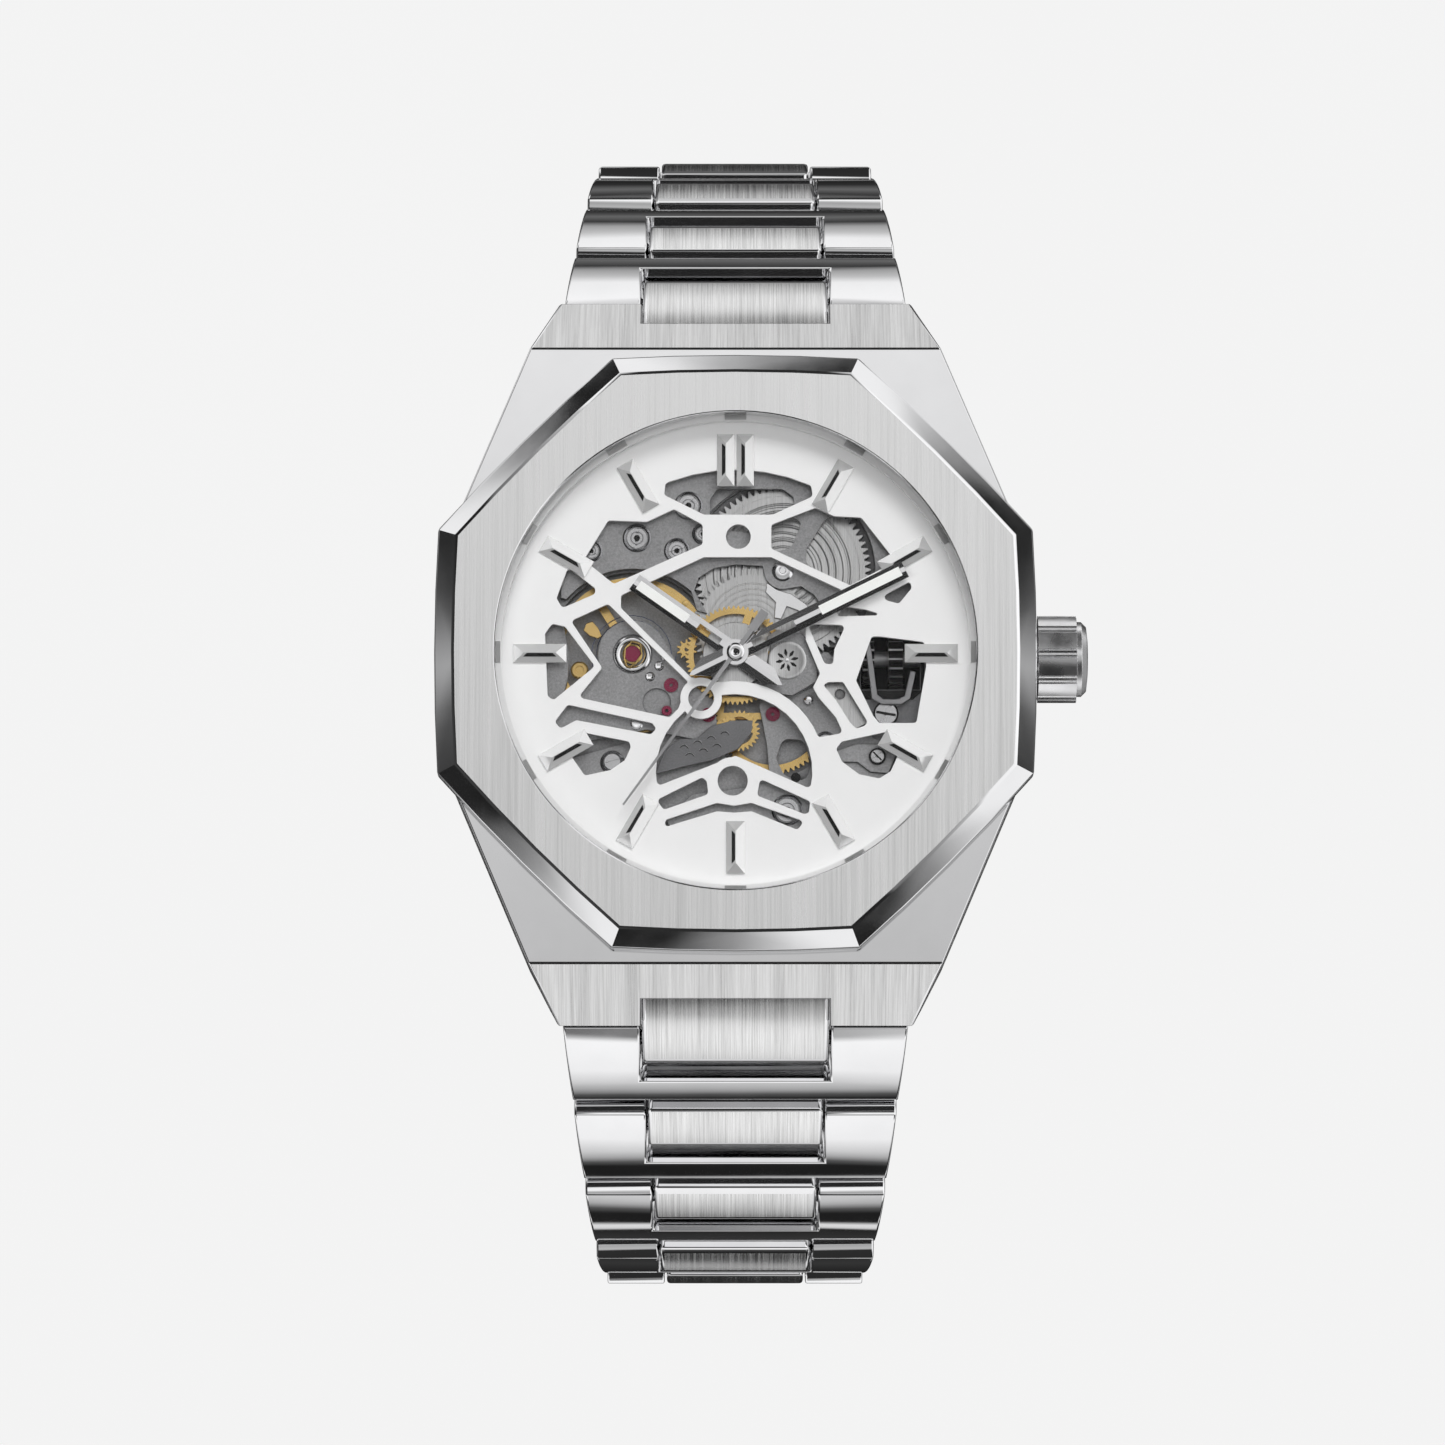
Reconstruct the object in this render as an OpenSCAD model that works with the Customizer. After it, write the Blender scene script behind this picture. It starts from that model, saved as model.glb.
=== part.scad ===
// Skeleton wristwatch: octagonal case, cut-out dial over an open movement, and
// a tapering bracelet of outer and centre links closed by a fold-over clasp.
// Origin: centre of the case back's flat face. +Z points out of the dial,
// +Y to 12 o'clock and +X to 3 o'clock, where the crown is. Millimetres.

/* [Case] */
// Width of the bezel across its flat sides
bezel_w = 42; // [41.5:0.1:42.5]
// Height of the case middle's top above the case back
case_top = 7.0; // [6.95:0.01:7]
// Height of the bezel above the case middle
bezel_h = 2.4; // [2.4:0.05:2.6]
// Radius of the crystal
crystal_r = 16.7; // [16.5:0.1:16.8]
// Distance from the centre to the crease where the lugs start
crease_y = 21.7; // [21.6:0.05:21.9]
// Slope of the lugs and of the first centre link, in degrees
lug_slope = 47; // [45:1:49]
// Length of each sloping lug face
lug_len = 5.8; // [5.6:0.1:6]

/* [Dial and hands] */
// Thickness of the dial plate
dial_t = 0.4; // [0.3:0.05:0.45]
// Height of the hour batons
baton_h = 0.45; // [0.3:0.05:0.45]
// Length of the hour hand from the centre
hour_len = 8.65; // [8:0.05:9]
// Length of the minute hand from the centre
minute_len = 13.2; // [12.5:0.1:13.5]
// Length of the second hand from the centre
second_len = 13.3; // [12.5:0.1:13.5]
// Direction of the minute hand, clockwise from 12 o'clock, in degrees
minute_angle = 63.6; // [60:0.1:66]
// Direction of the hour hand, clockwise from 12 o'clock, in degrees
hour_angle = 305.3; // [303:0.1:307]
// Direction of the second hand, clockwise from 12 o'clock, in degrees
second_angle = 216; // [213:1:219]

/* [Crown] */
// Radius of the crown
crown_r = 3.05; // [2.9:0.05:3.2]
// Length of the crown
crown_len = 3.5; // [3.3:0.1:3.7]

/* [Bracelet] */
// Distance between two link pivots
link_pitch = 8.55; // [8.45:0.05:8.7]
// Thickness of the links
link_t = 3; // [2.9:0.05:3.1]
// Width of the first outer link where it meets the case
band_w_start = 24.2; // [24:0.1:24.4]
// Width of the bracelet at the clasp
band_w_end = 18; // [17.6:0.2:18.4]
// Width of the first centre link
centre_w_start = 13.1; // [13:0.1:13.2]
// Width of the centre link at the clasp
centre_w_end = 9.6; // [9.4:0.1:9.8]
// Gap between pieces that move past each other
play = 0.15; // [0.12:0.01:0.18]

/* [Hidden] */
$fn = 64;
eps = 0.02;

// Heights above the case back.
back_t = 0.9;
dial_z = case_top;
dial_top = dial_z + dial_t;
bezel_top = case_top + bezel_h;
glass_t = 0.9;
glass_z = bezel_top - glass_t;
stem_z = 4.4;
rotor_z = 1.1;
cock_z = 6.05;
cock_top = 6.35;
bridge_z = 5.9;
bridge_top = 6.4;
lobe_r = 2.4;
plate_z = 2.9;
plate_top = 5.5;

// Radii of the stack inside the case.
cavity_r = 16.1;
dial_r = 17.3;
opening_r = 16.75;

// Bracelet rows: slope of each row below the dial plane, as worn.
ROWS = 7;
slope = [lug_slope, 52, 57, 68, 87, 111, 137, 163, 180];
near_r = 2.2;
tip_r = 2.3;
slot_r = 3;
row_gap = 0.35;
pin_r = 0.5;
pin_play = 0.05;
link_drop = 0.3;
crown_bow = 17;
outer_chamfer = 1.1;
centre_chamfer = 1.3;
row_end = link_pitch - near_r - row_gap;
first_pivot = lug_len + row_gap + near_r;
mid_drop = link_drop + link_t / 2;
notch_start = 3.3;

// Pivot i of a bracelet half, as [y, z], for i = 1 to ROWS + 1.
function pivot(i) = i == 1
    ? [crease_y + first_pivot * cos(lug_slope) - mid_drop * sin(lug_slope),
       case_top - first_pivot * sin(lug_slope) - mid_drop * cos(lug_slope)]
    : pivot(i - 1) + link_pitch * [cos(slope[i - 1]), -sin(slope[i - 1])];

// Widths along the bracelet taper over the first rows, then stay constant.
function taper(i) = max(0, 1 - i / 4.5);
function band_w(i) = band_w_end + (band_w_start - band_w_end) * taper(i);
function centre_w(i) = centre_w_end + (centre_w_start - centre_w_end) * taper(i - 1);

// Clasp: runs flat between the last pivots of the two halves.
clasp_half = pivot(ROWS + 1)[0];
clasp_z = pivot(ROWS + 1)[1];
clasp_w = 19.4;
clasp_skin = 1.1;
clasp_split = -13.2;
blade_t = 0.8;
blade_w = 13;
blade_pin_y = 13.6;
blade_mid = 0.85;

// Movement layout, [x, y] in the dial plane.
balance_at = [-7.2, 0.1];
balance_bar = 122;
barrel_at = [3.3, 6];
third_at = [2.6, -4.1];
fourth_at = [0.25, -5.3];
centre_z = 6.42;
hour_wheel_z = 6.68;
wheel_t = 0.16;
hour_hand_z = 7.62;
minute_hand_z = 7.94;
second_hand_z = 8.24;
arc_at = [-0.1, -8.3];
hub_at = [-2.4, -3.15];
low_ring_at = [-0.2, -8.95];
top_hole_at = [0.2, 8.25];

// Bezel: width and depth of the polished bevel, and how far each side bows out.
bevel_w = 1.3;
bevel_drop = 1.1;
side_bow = 0.25;

// Outline of the case middle seen from above.
side_x = 20.3;
end_face = 1.5;
case_outline = [
    [12.3, 25.8], [14.4, crease_y], [19.9, 8.7], [side_x, 7.6],
    [side_x, -7.6], [19.9, -8.7], [14.4, -crease_y], [12.3, -25.8],
    [-12.3, -25.8], [-14.4, -crease_y], [-19.9, -8.7], [-side_x, -7.6],
    [-side_x, 7.6], [-19.9, 8.7], [-14.4, crease_y], [-12.3, 25.8]];

// Windows of the dial, each an outline with round corners.
windows = [
    concat([[5.4, 11.1], [2.6, 9.8], [-2.2, 9.8], [-5, 11.2], [-4.9, 12]],
           arc([0, 0], 13, 111, 66, 6)),
    [[-10.6, 6.6], [-8.9, 9.4], [-6.2, 9.3], [-4.3, 10.2], [-2.3, 9.1], [-2.3, 7.7], [-8.5, 4.9]],
    [[-12.5, 3.9], [-11.7, 6.1], [-9.8, 4.6], [-9.8, 4.2], [-12.1, 3.2]],
    [[-11.5, 2.3], [-8.9, 3.5], [-3.3, -2], [-4, -3.9], [-4.6, -4.5], [-11, -3.1], [-9.3, -1]],
    [[-13.3, 1.4], [-12.8, 2.1], [-11.9, 1.9], [-9.8, -0.9], [-12.7, -3.3], [-13.1, -3]],
    [[-12.6, -4.8], [-11.7, -3.6], [-5.8, -4.9], [-5.5, -5.3], [-5.9, -5.7], [-11.1, -4.7], [-12.2, -5.3]],
    [[-10.9, -5.5], [-7.4, -6.2], [-7.3, -6.6], [-7.7, -7.5], [-8.7, -8.2], [-10.5, -8.6], [-11.6, -7]],
    concat(arc(arc_at, 5.45, -13, 191, 20), [[0, -7.2]]),
    [[-5.5, -10.3], [-2.3, -8.7], [-2, -9], [-1.9, -9.9], [-5, -11]],
    [[1.7, -8.8], [5.2, -10.4], [5.1, -11.2], [4.8, -11.3], [1.5, -10]],
    [[-4.9, -11.7], [-1.3, -10.5], [-0.1, -10.7], [1.1, -10.5], [4.8, -11.8], [4.3, -12.4],
     [1.1, -11.1], [-0.1, -11.2], [-1.3, -11.1], [-4.9, -12.2]],
    concat([[-8, 4.1], [-2.2, 6.8], [2.5, 6.8], [7.8, 4.3], [6.7, 3.9], [4.9, 2.3], [4.9, 1],
            [5.9, -1.4], [5.4, -2.4], [5.8, -3.1], [7, -4.5], [7.5, -5.6]],
           arc(arc_at, 6.35, 22, 99, 10), [[-1.7, -1.9], [-3.1, -1.7], [-8, 3.2]]),
    [[2.5, 9.1], [5.6, 10.3], [6.9, 9.7], [8.8, 9.6], [11.2, 6.5], [8, 4.8], [2.5, 7.4]],
    [[10, 3.9], [12.2, 5.1], [12.3, 4.6], [11.4, 3.5]],
    [[7.1, 3.4], [9.1, 3.1], [10.4, 2.7], [7.1, 2.6]],
    [[5, 2.1], [7.7, 2], [6.9, 0.3], [6.8, -0.8], [6.2, -0.7]],
    [[8.4, -1.9], [9.5, 1.2], [10.1, 1.2], [13.2, 0.8], [13.3, -0.9], [12.6, -4.9], [10, -4.9], [9.6, -4.4]],
    [[6.1, -2.2], [6.5, -2], [7.5, -2], [9.2, -4.8], [9, -5.1], [8.4, -5.3], [8, -4.9], [7, -3.3]],
    [[7, -6.7], [7.4, -6.2], [10.6, -5.5], [11.3, -7.2], [10.8, -8.3], [10, -8.8], [8.6, -8.5], [7.4, -7.6]]];

// Outline of the bridge over the barrel, with a bay for the balance wheel on
// the left and one for the ratchet wheel in the middle.
upper_bridge = concat(arc([0, 0], 13.6, 25, 153, 24), [[-12.2, 4.1]],
                      arc(balance_at, 6.05, 140, 47, 16),
                      [[-2.7, 3.2], [-2, 3], [-2.9, 4.6], [-2.6, 5.5], [-1.5, 6.2], [0, 6.45],
                       [1.9, 6.35]],
                      arc(barrel_at, 1.3, 195, 290, 6),
                      [[4.6, 4.9], [5.5, 4.3], [6.2, 3.3], [7.3, 3.6], [9.9, 4.4]]);
bridge_windows = [
    [[-1.8, 9], [-1.8, 11], [-1.3, 11.8], [3.3, 11.8], [4.1, 11.2], [4.1, 10.2], [1.4, 8.6]],
    concat([[7.4, 4.6], [4.9, 6.6], [5, 7.6], [6.1, 9.4]], arc(barrel_at, 6.5, 48, -9, 10)),
    [[1.9, 7.5], [2.2, 9], [3.8, 9.8], [4.7, 9.5], [3.9, 7.6], [3, 7.4]]];

// Hour batons: width, and the radii where they start and end.
baton_w = 1.3;
baton_in = 11.8;
baton_out = 15.5;

// Hands: width and thickness, and where the two inserts start.
hand_w = 1.25;
hand_t = 0.2;
hour_seat = 4.1;
minute_seat = 6.6;
hand_end = 0.35;

// Screws as [x, y, radius] and stones as [x, y, radius, height].
screws = [[-6.9, 8.3, 0.7], [-10.1, 7.4, 0.5], [-4.1, 7.4, 0.6], [-3.3, 10.6, 0.7],
          [9.9, -7.1, 0.45], [10.5, -4.1, 0.75], [3.6, -10.9, 0.8], [6.3, -6.1, 0.5],
          [-8.6, -7.5, 0.55], [-2.3, 8.6, 0.45]];
stones = [[-4.5, -2.1, 0.5, cock_top], [-1.9, -4.2, 0.5, cock_top],
          [-4.8, -3.9, 0.35, cock_top], [2.6, -4.1, 0.5, plate_top + 0.5]];

// Crown: where it starts, its flutes and its domed cap.
crown_x = 21.15;
flutes = 10;
fluted_len = 2.7;
cap_r = crown_r - 0.42;

// ---------------------------------------------------------------- helpers

function unit(v) = v / norm(v);

// Points of a round corner at p between its neighbours a and b.
function corner(a, p, b, r, n) =
    let (u = unit(a - p), v = unit(b - p),
         half = acos(max(-1, min(1, u * v))) / 2,
         d = min(r / tan(half), 0.45 * norm(a - p), 0.45 * norm(b - p)),
         c = p + unit(u + v) * d / cos(half),
         s = p + u * d - c, e = p + v * d - c,
         a0 = atan2(s[1], s[0]),
         turn = atan2(s[0] * e[1] - s[1] * e[0], s * e))
    [for (k = [0:n]) c + norm(s) * [cos(a0 + turn * k / n), sin(a0 + turn * k / n)]];

// The outline through pts with every corner rounded to radius r.
function rounded(pts, r = 0.25, n = 3) =
    let (m = len(pts))
    [for (i = [0:m - 1]) each corner(pts[(i + m - 1) % m], pts[i], pts[(i + 1) % m], r, n)];

// Points of an arc about c, from angle a0 to a1.
function arc(c, r, a0, a1, n = 12) =
    [for (k = [0:n]) c + r * [cos(a0 + (a1 - a0) * k / n), sin(a0 + (a1 - a0) * k / n)]];

// Outline of a toothed wheel.
function gear(r_tip, r_root, teeth) =
    [for (i = [0:teeth - 1]) each
        [for (q = [[r_root, 0], [r_tip, 0.3], [r_tip, 0.5], [r_root, 0.8]])
            q[0] * [cos((i + q[1]) * 360 / teeth), sin((i + q[1]) * 360 / teeth)]]];

module plate(pts, z, t) {
    translate([0, 0, z]) linear_extrude(t) polygon(pts);
}

module disc(at, r, z, t) {
    translate([at[0], at[1], z]) cylinder(r = r, h = t);
}

module ring(at, r_out, r_in, z, t) {
    difference() {
        disc(at, r_out, z, t);
        disc(at, r_in, z - 1, t + 2);
    }
}

// A bar with a ridge along its middle and hipped ends, along +Y from y0 to y1.
module roof_bar(w, y0, y1, h, hip) {
    intersection() {
        translate([0, y1, 0]) rotate([90, 0, 0]) linear_extrude(y1 - y0)
            polygon([[-w / 2, 0], [w / 2, 0], [w / 2, h / 4], [0, h], [-w / 2, h / 4]]);
        rotate([90, 0, 90]) translate([0, 0, -w / 2]) linear_extrude(w)
            polygon([[y0, 0], [y1, 0], [y1, h / 4], [y1 - hip, h], [y0 + hip, h], [y0, h / 4]]);
    }
}

// A wheel with a toothed rim, spokes and a hub, about the origin.
module spoked_wheel(r, teeth, tooth, rim, spokes, hub, bore, t) {
    difference() {
        linear_extrude(t) polygon(gear(r, r - tooth, teeth));
        difference() {
            translate([0, 0, -1]) cylinder(r = r - tooth - rim, h = t + 2);
            translate([0, 0, -1]) cylinder(r = hub, h = t + 2);
            for (k = [0:spokes - 1])
                rotate(k * 360 / spokes) translate([0, -hub / 3, -1])
                    cube([r, hub / 1.5, t + 2]);
        }
        translate([0, 0, -1]) cylinder(r = bore, h = t + 2);
    }
}

// ---------------------------------------------------------------- case

// Octagon of the given width across flats, its sides bowed out a little.
function octagon(w, bow = side_bow) =
    [for (k = [0:7]) each
        [for (s = [-1, -0.5, 0, 0.5])
            let (half = w / 2 * tan(22.5), a = k * 45)
            (w / 2 - bow * s * s) * [cos(a), sin(a)] + s * half * (w - 2 * bow) / w
                * [-sin(a), cos(a)]]];

module bezel() {
    color("silver") difference() {
        union() {
            plate(octagon(bezel_w), case_top, bezel_h - bevel_drop);
            hull() {
                plate(octagon(bezel_w), bezel_top - bevel_drop - eps, eps);
                plate(octagon(bezel_w - 2 * bevel_w), bezel_top - eps, eps);
            }
        }
        disc([0, 0], opening_r, case_top - 1, bezel_h + 2);
        disc([0, 0], dial_r + 0.1, case_top - 1, glass_z - case_top - 0.3 + 1);
    }
}

module case_middle() {
    end_y = crease_y + lug_len * cos(lug_slope);
    end_z = case_top - lug_len * sin(lug_slope);
    half = [[crease_y, case_top], [end_y, end_z],
            [end_y - end_face * sin(lug_slope), end_z - end_face * cos(lug_slope)],
            [end_y - 3.4, back_t + 0.6], [18.5, back_t]];
    color("silver") difference() {
        intersection() {
            rotate([90, 0, 90]) translate([0, 0, -side_x - 1]) linear_extrude(2 * side_x + 2)
                polygon(concat(half, [for (k = [4:-1:0]) [-half[k][0], half[k][1]]]));
            plate(case_outline, 0, case_top + 1);
        }
        disc([0, 0], cavity_r, back_t - 1, case_top + 2);
        for (s = [0, 1]) mirror([0, s, 0]) lug_notch();
        translate([0, 0, stem_z]) rotate([0, 90, 0]) cylinder(r = 1, h = side_x + 2);
    }
}

// The slot in a lug that holds the first centre link.
module lug_notch() {
    translate([0, crease_y, case_top]) rotate([-lug_slope, 0, 0])
        translate([-centre_w(1) / 2 - eps, notch_start, -9])
            cube([centre_w(1) + 2 * eps, 10, 12]);
}

module crystal() {
    color("azure", 0.3) disc([0, 0], crystal_r, glass_z, glass_t);
}

module chapter_ring() {
    color("gainsboro") ring([0, 0], dial_r, 16.35, dial_top, glass_z - 0.3 - dial_top - eps);
}

module case_back() {
    color("silver") difference() {
        union() {
            disc([0, 0], 18, 0, back_t);
            disc([0, 0], cavity_r - 0.05, back_t - eps, 0.6);
        }
        disc([0, 0], 13, -1, 4);
        for (k = [0:5]) rotate(60 * k + 30) disc([15.4, 0], 0.9, -1, 1.5);
    }
}

module back_glass() {
    color("azure", 0.3) disc([0, 0], 13, 0, back_t);
}

// ---------------------------------------------------------------- dial

module dial() {
    color("white") difference() {
        union() {
            difference() {
                disc([0, 0], dial_r, dial_z, dial_t);
                for (w = windows) plate(rounded(w), dial_z - 1, 3);
            }
            disc(hub_at, 1.45, dial_z, dial_t);
            disc(low_ring_at, 1.65, dial_z, dial_t);
        }
        disc(hub_at, 0.9, dial_z - 1, 3);
        disc(low_ring_at, 1.05, dial_z - 1, 3);
        disc(top_hole_at, 0.87, dial_z - 1, 3);
    }
}

module hour_batons() {
    color("silver") translate([0, 0, dial_top]) {
        for (k = [1:11]) rotate(-30 * k) roof_bar(baton_w, baton_in, baton_out, baton_h, 0.75);
        for (s = [-1, 1]) translate([0.68 * s, 0, 0])
            roof_bar(1.2, baton_in, baton_out, baton_h, 0.75);
    }
}

// ---------------------------------------------------------------- movement

module movement_plate() {
    color("gray") difference() {
        union() {
            disc([0, 0], cavity_r - 0.05, plate_z, plate_top - plate_z);
            disc([0, 0], 3, rotor_z + 1.25, plate_z - rotor_z - 1.25 + eps);
            disc([0, 0], 0.55, rotor_z, plate_z - rotor_z);
        }
        disc([0, 0], 1.2, 4, 6);
        disc(balance_at, 5.9, plate_top - 0.9, 2);
        disc(barrel_at, 6.5, plate_top - 0.5, 2);
        disc(third_at, 4.4, plate_top - 0.7, 2);
        disc([0, 0], 3.9, plate_top - 0.4, 2);
        translate([8.3, -2.6, 2]) cube([6, 5.2, 5]);
        translate([6.2, -0.8, stem_z - 0.8]) cube([3, 1.6, 4]);
        on_stem(6) cylinder(r = 0.7, h = 12);
    }
}

// The plate over the balance: a round lobe about its jewel, running down to
// the lower bridge, and a foot that carries it.
module balance_bridge() {
    outline = concat(arc(balance_at, lobe_r, 195, 25),
                     [[-4.2, -0.4], [-3.3, -1.8], [-1.5, -3.2], [-1.3, -4.8], [-2.4, -6],
                      [-6.2, -5.2], [-12.2, -6.4], [-13.4, -3.4], [-11.4, -2.6]]);
    color("dimgray") difference() {
        union() {
            plate(rounded(outline), cock_z, cock_top - cock_z);
            plate(rounded([[-14.4, -3], [-13.4, -3.4], [-12.2, -6.4], [-13.2, -6.9]], 0.1),
                  plate_top, cock_top - plate_top);
        }
        disc(balance_at, 1.4, cock_top - 0.12, 1);
        disc([-5.5, -3.3], 1, cock_top - 0.2, 1);
        for (p = [[-5.34, -0.74], [-5.97, -1.49], [-6.9, -4.8]])
            ring(p, 0.34, 0.22, cock_top - 0.1, 1);
    }
}

module train_bridge() {
    color("gray") difference() {
        union() {
            plate(rounded([[1.6, -3.2], [3.4, -2.6], [6.4, 0.6], [8.1, -2.9], [9.6, -5.8],
                           [11.6, -6.4], [10, -9.2], [6.4, -9.8], [2.4, -8.7], [2.2, -6.2]], 0.4),
                  plate_top, 0.5);
            plate(rounded([[-3, -9.8], [2.2, -9], [5.9, -10], [5.4, -12], [0, -12.9], [-5.2, -11.9]], 0.4),
                  plate_top, 0.9);
            plate(rounded([[-12.2, -7.4], [-7.2, -6], [-6.6, -7], [-8, -9.4], [-10.6, -9.6]], 0.4),
                  plate_top, 0.5);
            plate(upper_bridge, bridge_z, bridge_top - bridge_z);
            difference() {
                plate(upper_bridge, plate_top, bridge_z - plate_top + eps);
                disc(barrel_at, 6.6, plate_top - 1, 3);
            }
        }
        for (s = screws) disc([s[0], s[1]], s[2] + 0.01, plate_top, 3);
        for (w = bridge_windows) plate(rounded(w, 0.4), bridge_z - eps, 2);
        plate(rounded([[2.8, -7.2], [3.3, -5.8], [4.8, -5.9], [5.3, -7.6], [4.9, -8.9], [3.4, -8.4]], 0.6),
              plate_top - 1, 3);
        disc(low_ring_at, 1.3, plate_top + 0.3, 3);
    }
}

module jewels() {
    color("crimson") {
        disc(balance_at, 0.55, cock_top, 0.15);
        for (s = stones) ring([s[0], s[1]], s[2], 0.12, s[3], 0.12);
    }
}

// Screws of the movement, then those of the case back.
module screws() {
    color("silver") {
        for (s = screws) difference() {
            disc([s[0], s[1]], s[2], plate_top, 0.95);
            translate([s[0], s[1], plate_top + 0.8]) rotate(40 * s[0])
                translate([-1, -0.09, 0]) cube([2, 0.18, 1]);
        }
        for (k = [0:5]) rotate(60 * k + 30) difference() {
            disc([15.4, 0], 0.88, 0.05, 0.45);
            translate([14.4, -0.12, -0.1]) cube([2, 0.24, 0.3]);
        }
    }
}

module barrel() {
    color("silver") translate([barrel_at[0], barrel_at[1], plate_top - 0.3]) {
        linear_extrude(0.35) polygon(gear(6.2, 5.8, 78));
        difference() {
            cylinder(r = 5.4, h = 0.5);
            for (r = [2.2:0.7:4.3]) translate([0, 0, 0.4]) difference() {
                cylinder(r = r + 0.3, h = 1);
                translate([0, 0, -1]) cylinder(r = r, h = 3);
            }
        }
    }
}

module third_wheel() {
    color("goldenrod") translate([third_at[0], third_at[1], plate_top - 0.55])
        spoked_wheel(4.1, 66, 0.25, 0.4, 4, 0.7, 0.15, wheel_t);
}

module fourth_wheel() {
    color("goldenrod") translate([fourth_at[0], fourth_at[1], 6.1])
        spoked_wheel(1.45, 26, 0.22, 0.25, 3, 0.45, 0.12, 0.3);
}

module balance_wheel() {
    color("goldenrod") translate([balance_at[0], balance_at[1], plate_top - 0.2]) {
        difference() {
            cylinder(r = 5.5, h = 0.5);
            difference() {
                translate([0, 0, -1]) cylinder(r = 4.9, h = 3);
                translate([0, 0, -1]) cylinder(r = 0.7, h = 3);
                rotate(balance_bar) translate([-6, -0.3, -1]) cube([12, 0.6, 3]);
            }
        }
        cylinder(r = 0.3, h = 0.65);
    }
}

module winding_rotor() {
    color("silver") translate([0, 0, rotor_z]) difference() {
        union() {
            cylinder(r = 2.2, h = 1.2);
            intersection() {
                cylinder(r = 12.6, h = 0.9);
                translate([-13, -13, 0]) cube([26, 13.4, 2]);
            }
        }
        translate([0, 0, -1]) cylinder(r = 0.6, h = 4);
        for (s = [-1, 1]) translate([0, 0, -1]) linear_extrude(4)
            polygon(rounded([[s * 1.9, -1.9], [s * 2.6, -1], [s * 8.6, -3.2], [s * 5.8, -7.2]], 0.4));
    }
}

// ---------------------------------------------------------------- hands

// A hand's bar: pointed tail, an open slot by the hub and a seat for the insert.
module hand_bar(length, tail, w, t, slot0, slot1, seat0) {
    difference() {
        union() {
            intersection() {
                linear_extrude(t)
                    polygon([[0, -tail], [w * 0.55, -tail + 1.2], [w / 2, 0], [w / 2, length],
                             [-w / 2, length], [-w / 2, 0], [-w * 0.55, -tail + 1.2]]);
                roof_bar(w * 1.2, -tail, length, t * 1.2, 0.01);
            }
            cylinder(r = w * 0.72, h = t);
        }
        translate([-w * 0.2, slot0, -1]) cube([w * 0.4, slot1 - slot0, 3]);
        translate([-w * 0.27, seat0, -1]) cube([w * 0.54, length - hand_end - seat0, 3]);
    }
}

module insert(length, w, t, seat0) {
    translate([-w * 0.27, seat0, 0]) cube([w * 0.54, length - hand_end - seat0, t]);
}

module hour_hand() {
    color("silver") translate([0, 0, hour_hand_z]) rotate(-hour_angle) difference() {
        hand_bar(hour_len, 4, hand_w, hand_t, 1.3, 3.2, hour_seat);
        translate([0, 0, -1]) cylinder(r = 0.62, h = 3);
    }
}

module hour_hand_insert() {
    color("white") translate([0, 0, hour_hand_z]) rotate(-hour_angle)
        insert(hour_len, hand_w, hand_t * 0.9, hour_seat);
}

module hour_wheel() {
    color("silver") difference() {
        union() {
            disc([0, 0], 2.3, hour_wheel_z, wheel_t);
            disc([0, 0], 0.8, hour_wheel_z, hour_hand_z - hour_wheel_z);
        }
        disc([0, 0], 0.55, hour_wheel_z - 1, 3);
    }
}

module minute_hand() {
    color("silver") translate([0, 0, minute_hand_z]) rotate(-minute_angle) difference() {
        hand_bar(minute_len, 3.6, hand_w, hand_t, 1.3, 4.6, minute_seat);
        translate([0, 0, -1]) cylinder(r = 0.3, h = 3);
    }
}

module minute_hand_insert() {
    color("white") translate([0, 0, minute_hand_z]) rotate(-minute_angle)
        insert(minute_len, hand_w, hand_t * 0.9, minute_seat);
}

module centre_wheel() {
    color("goldenrod") {
        translate([0, 0, centre_z]) spoked_wheel(3.5, 64, 0.22, 0.35, 5, 0.8, 0.25, wheel_t);
        ring([0, 0], 0.48, 0.25, centre_z, minute_hand_z - centre_z);
    }
}

module second_hand() {
    color("silver") translate([0, 0, second_hand_z]) rotate(-second_angle) {
        linear_extrude(0.12) polygon([[-0.15, -3.5], [0.15, -3.5], [0.15, 0], [0.07, second_len],
                                      [-0.07, second_len], [-0.15, 0]]);
        linear_extrude(0.12) polygon([[-0.32, -3.5], [0.32, -3.5], [0.32, -1.9], [-0.32, -1.9]]);
        cylinder(r = 0.6, h = 0.16);
        translate([0, 0, -2.6]) cylinder(r = 0.2, h = 2.7);
    }
}

// ---------------------------------------------------------------- crown

// Turns a shape drawn along +Z so that it points along the winding stem.
module on_stem(x) {
    translate([x, 0, stem_z]) rotate([0, 90, 0]) children();
}

module crown_tube() {
    color("silver") on_stem(cavity_r + 0.1) difference() {
        cylinder(r = 1, h = crown_x - cavity_r + 1.5);
        translate([0, 0, -1]) cylinder(r = 0.6, h = 12);
    }
}

module crown_gasket() {
    color("black") on_stem(crown_x + 0.9) difference() {
        cylinder(r = 1.5, h = 0.7);
        translate([0, 0, -1]) cylinder(r = 1.05, h = 3);
    }
}

module crown() {
    color("silver") on_stem(crown_x) difference() {
        union() {
            difference() {
                cylinder(r = crown_r, h = fluted_len);
                for (k = [0:flutes - 1]) rotate(k * 360 / flutes)
                    translate([crown_r + 0.1, 0, -1]) cylinder(r = 0.36, h = 5);
            }
            rotate_extrude() polygon([[0, fluted_len - eps], [cap_r, fluted_len - eps],
                                      [cap_r, crown_len - 0.45], [cap_r - 0.35, crown_len - 0.1],
                                      [cap_r - 1.2, crown_len], [0, crown_len]]);
        }
        translate([0, 0, -1]) cylinder(r = 1.55, h = 1 + 2.9);
    }
}

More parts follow.
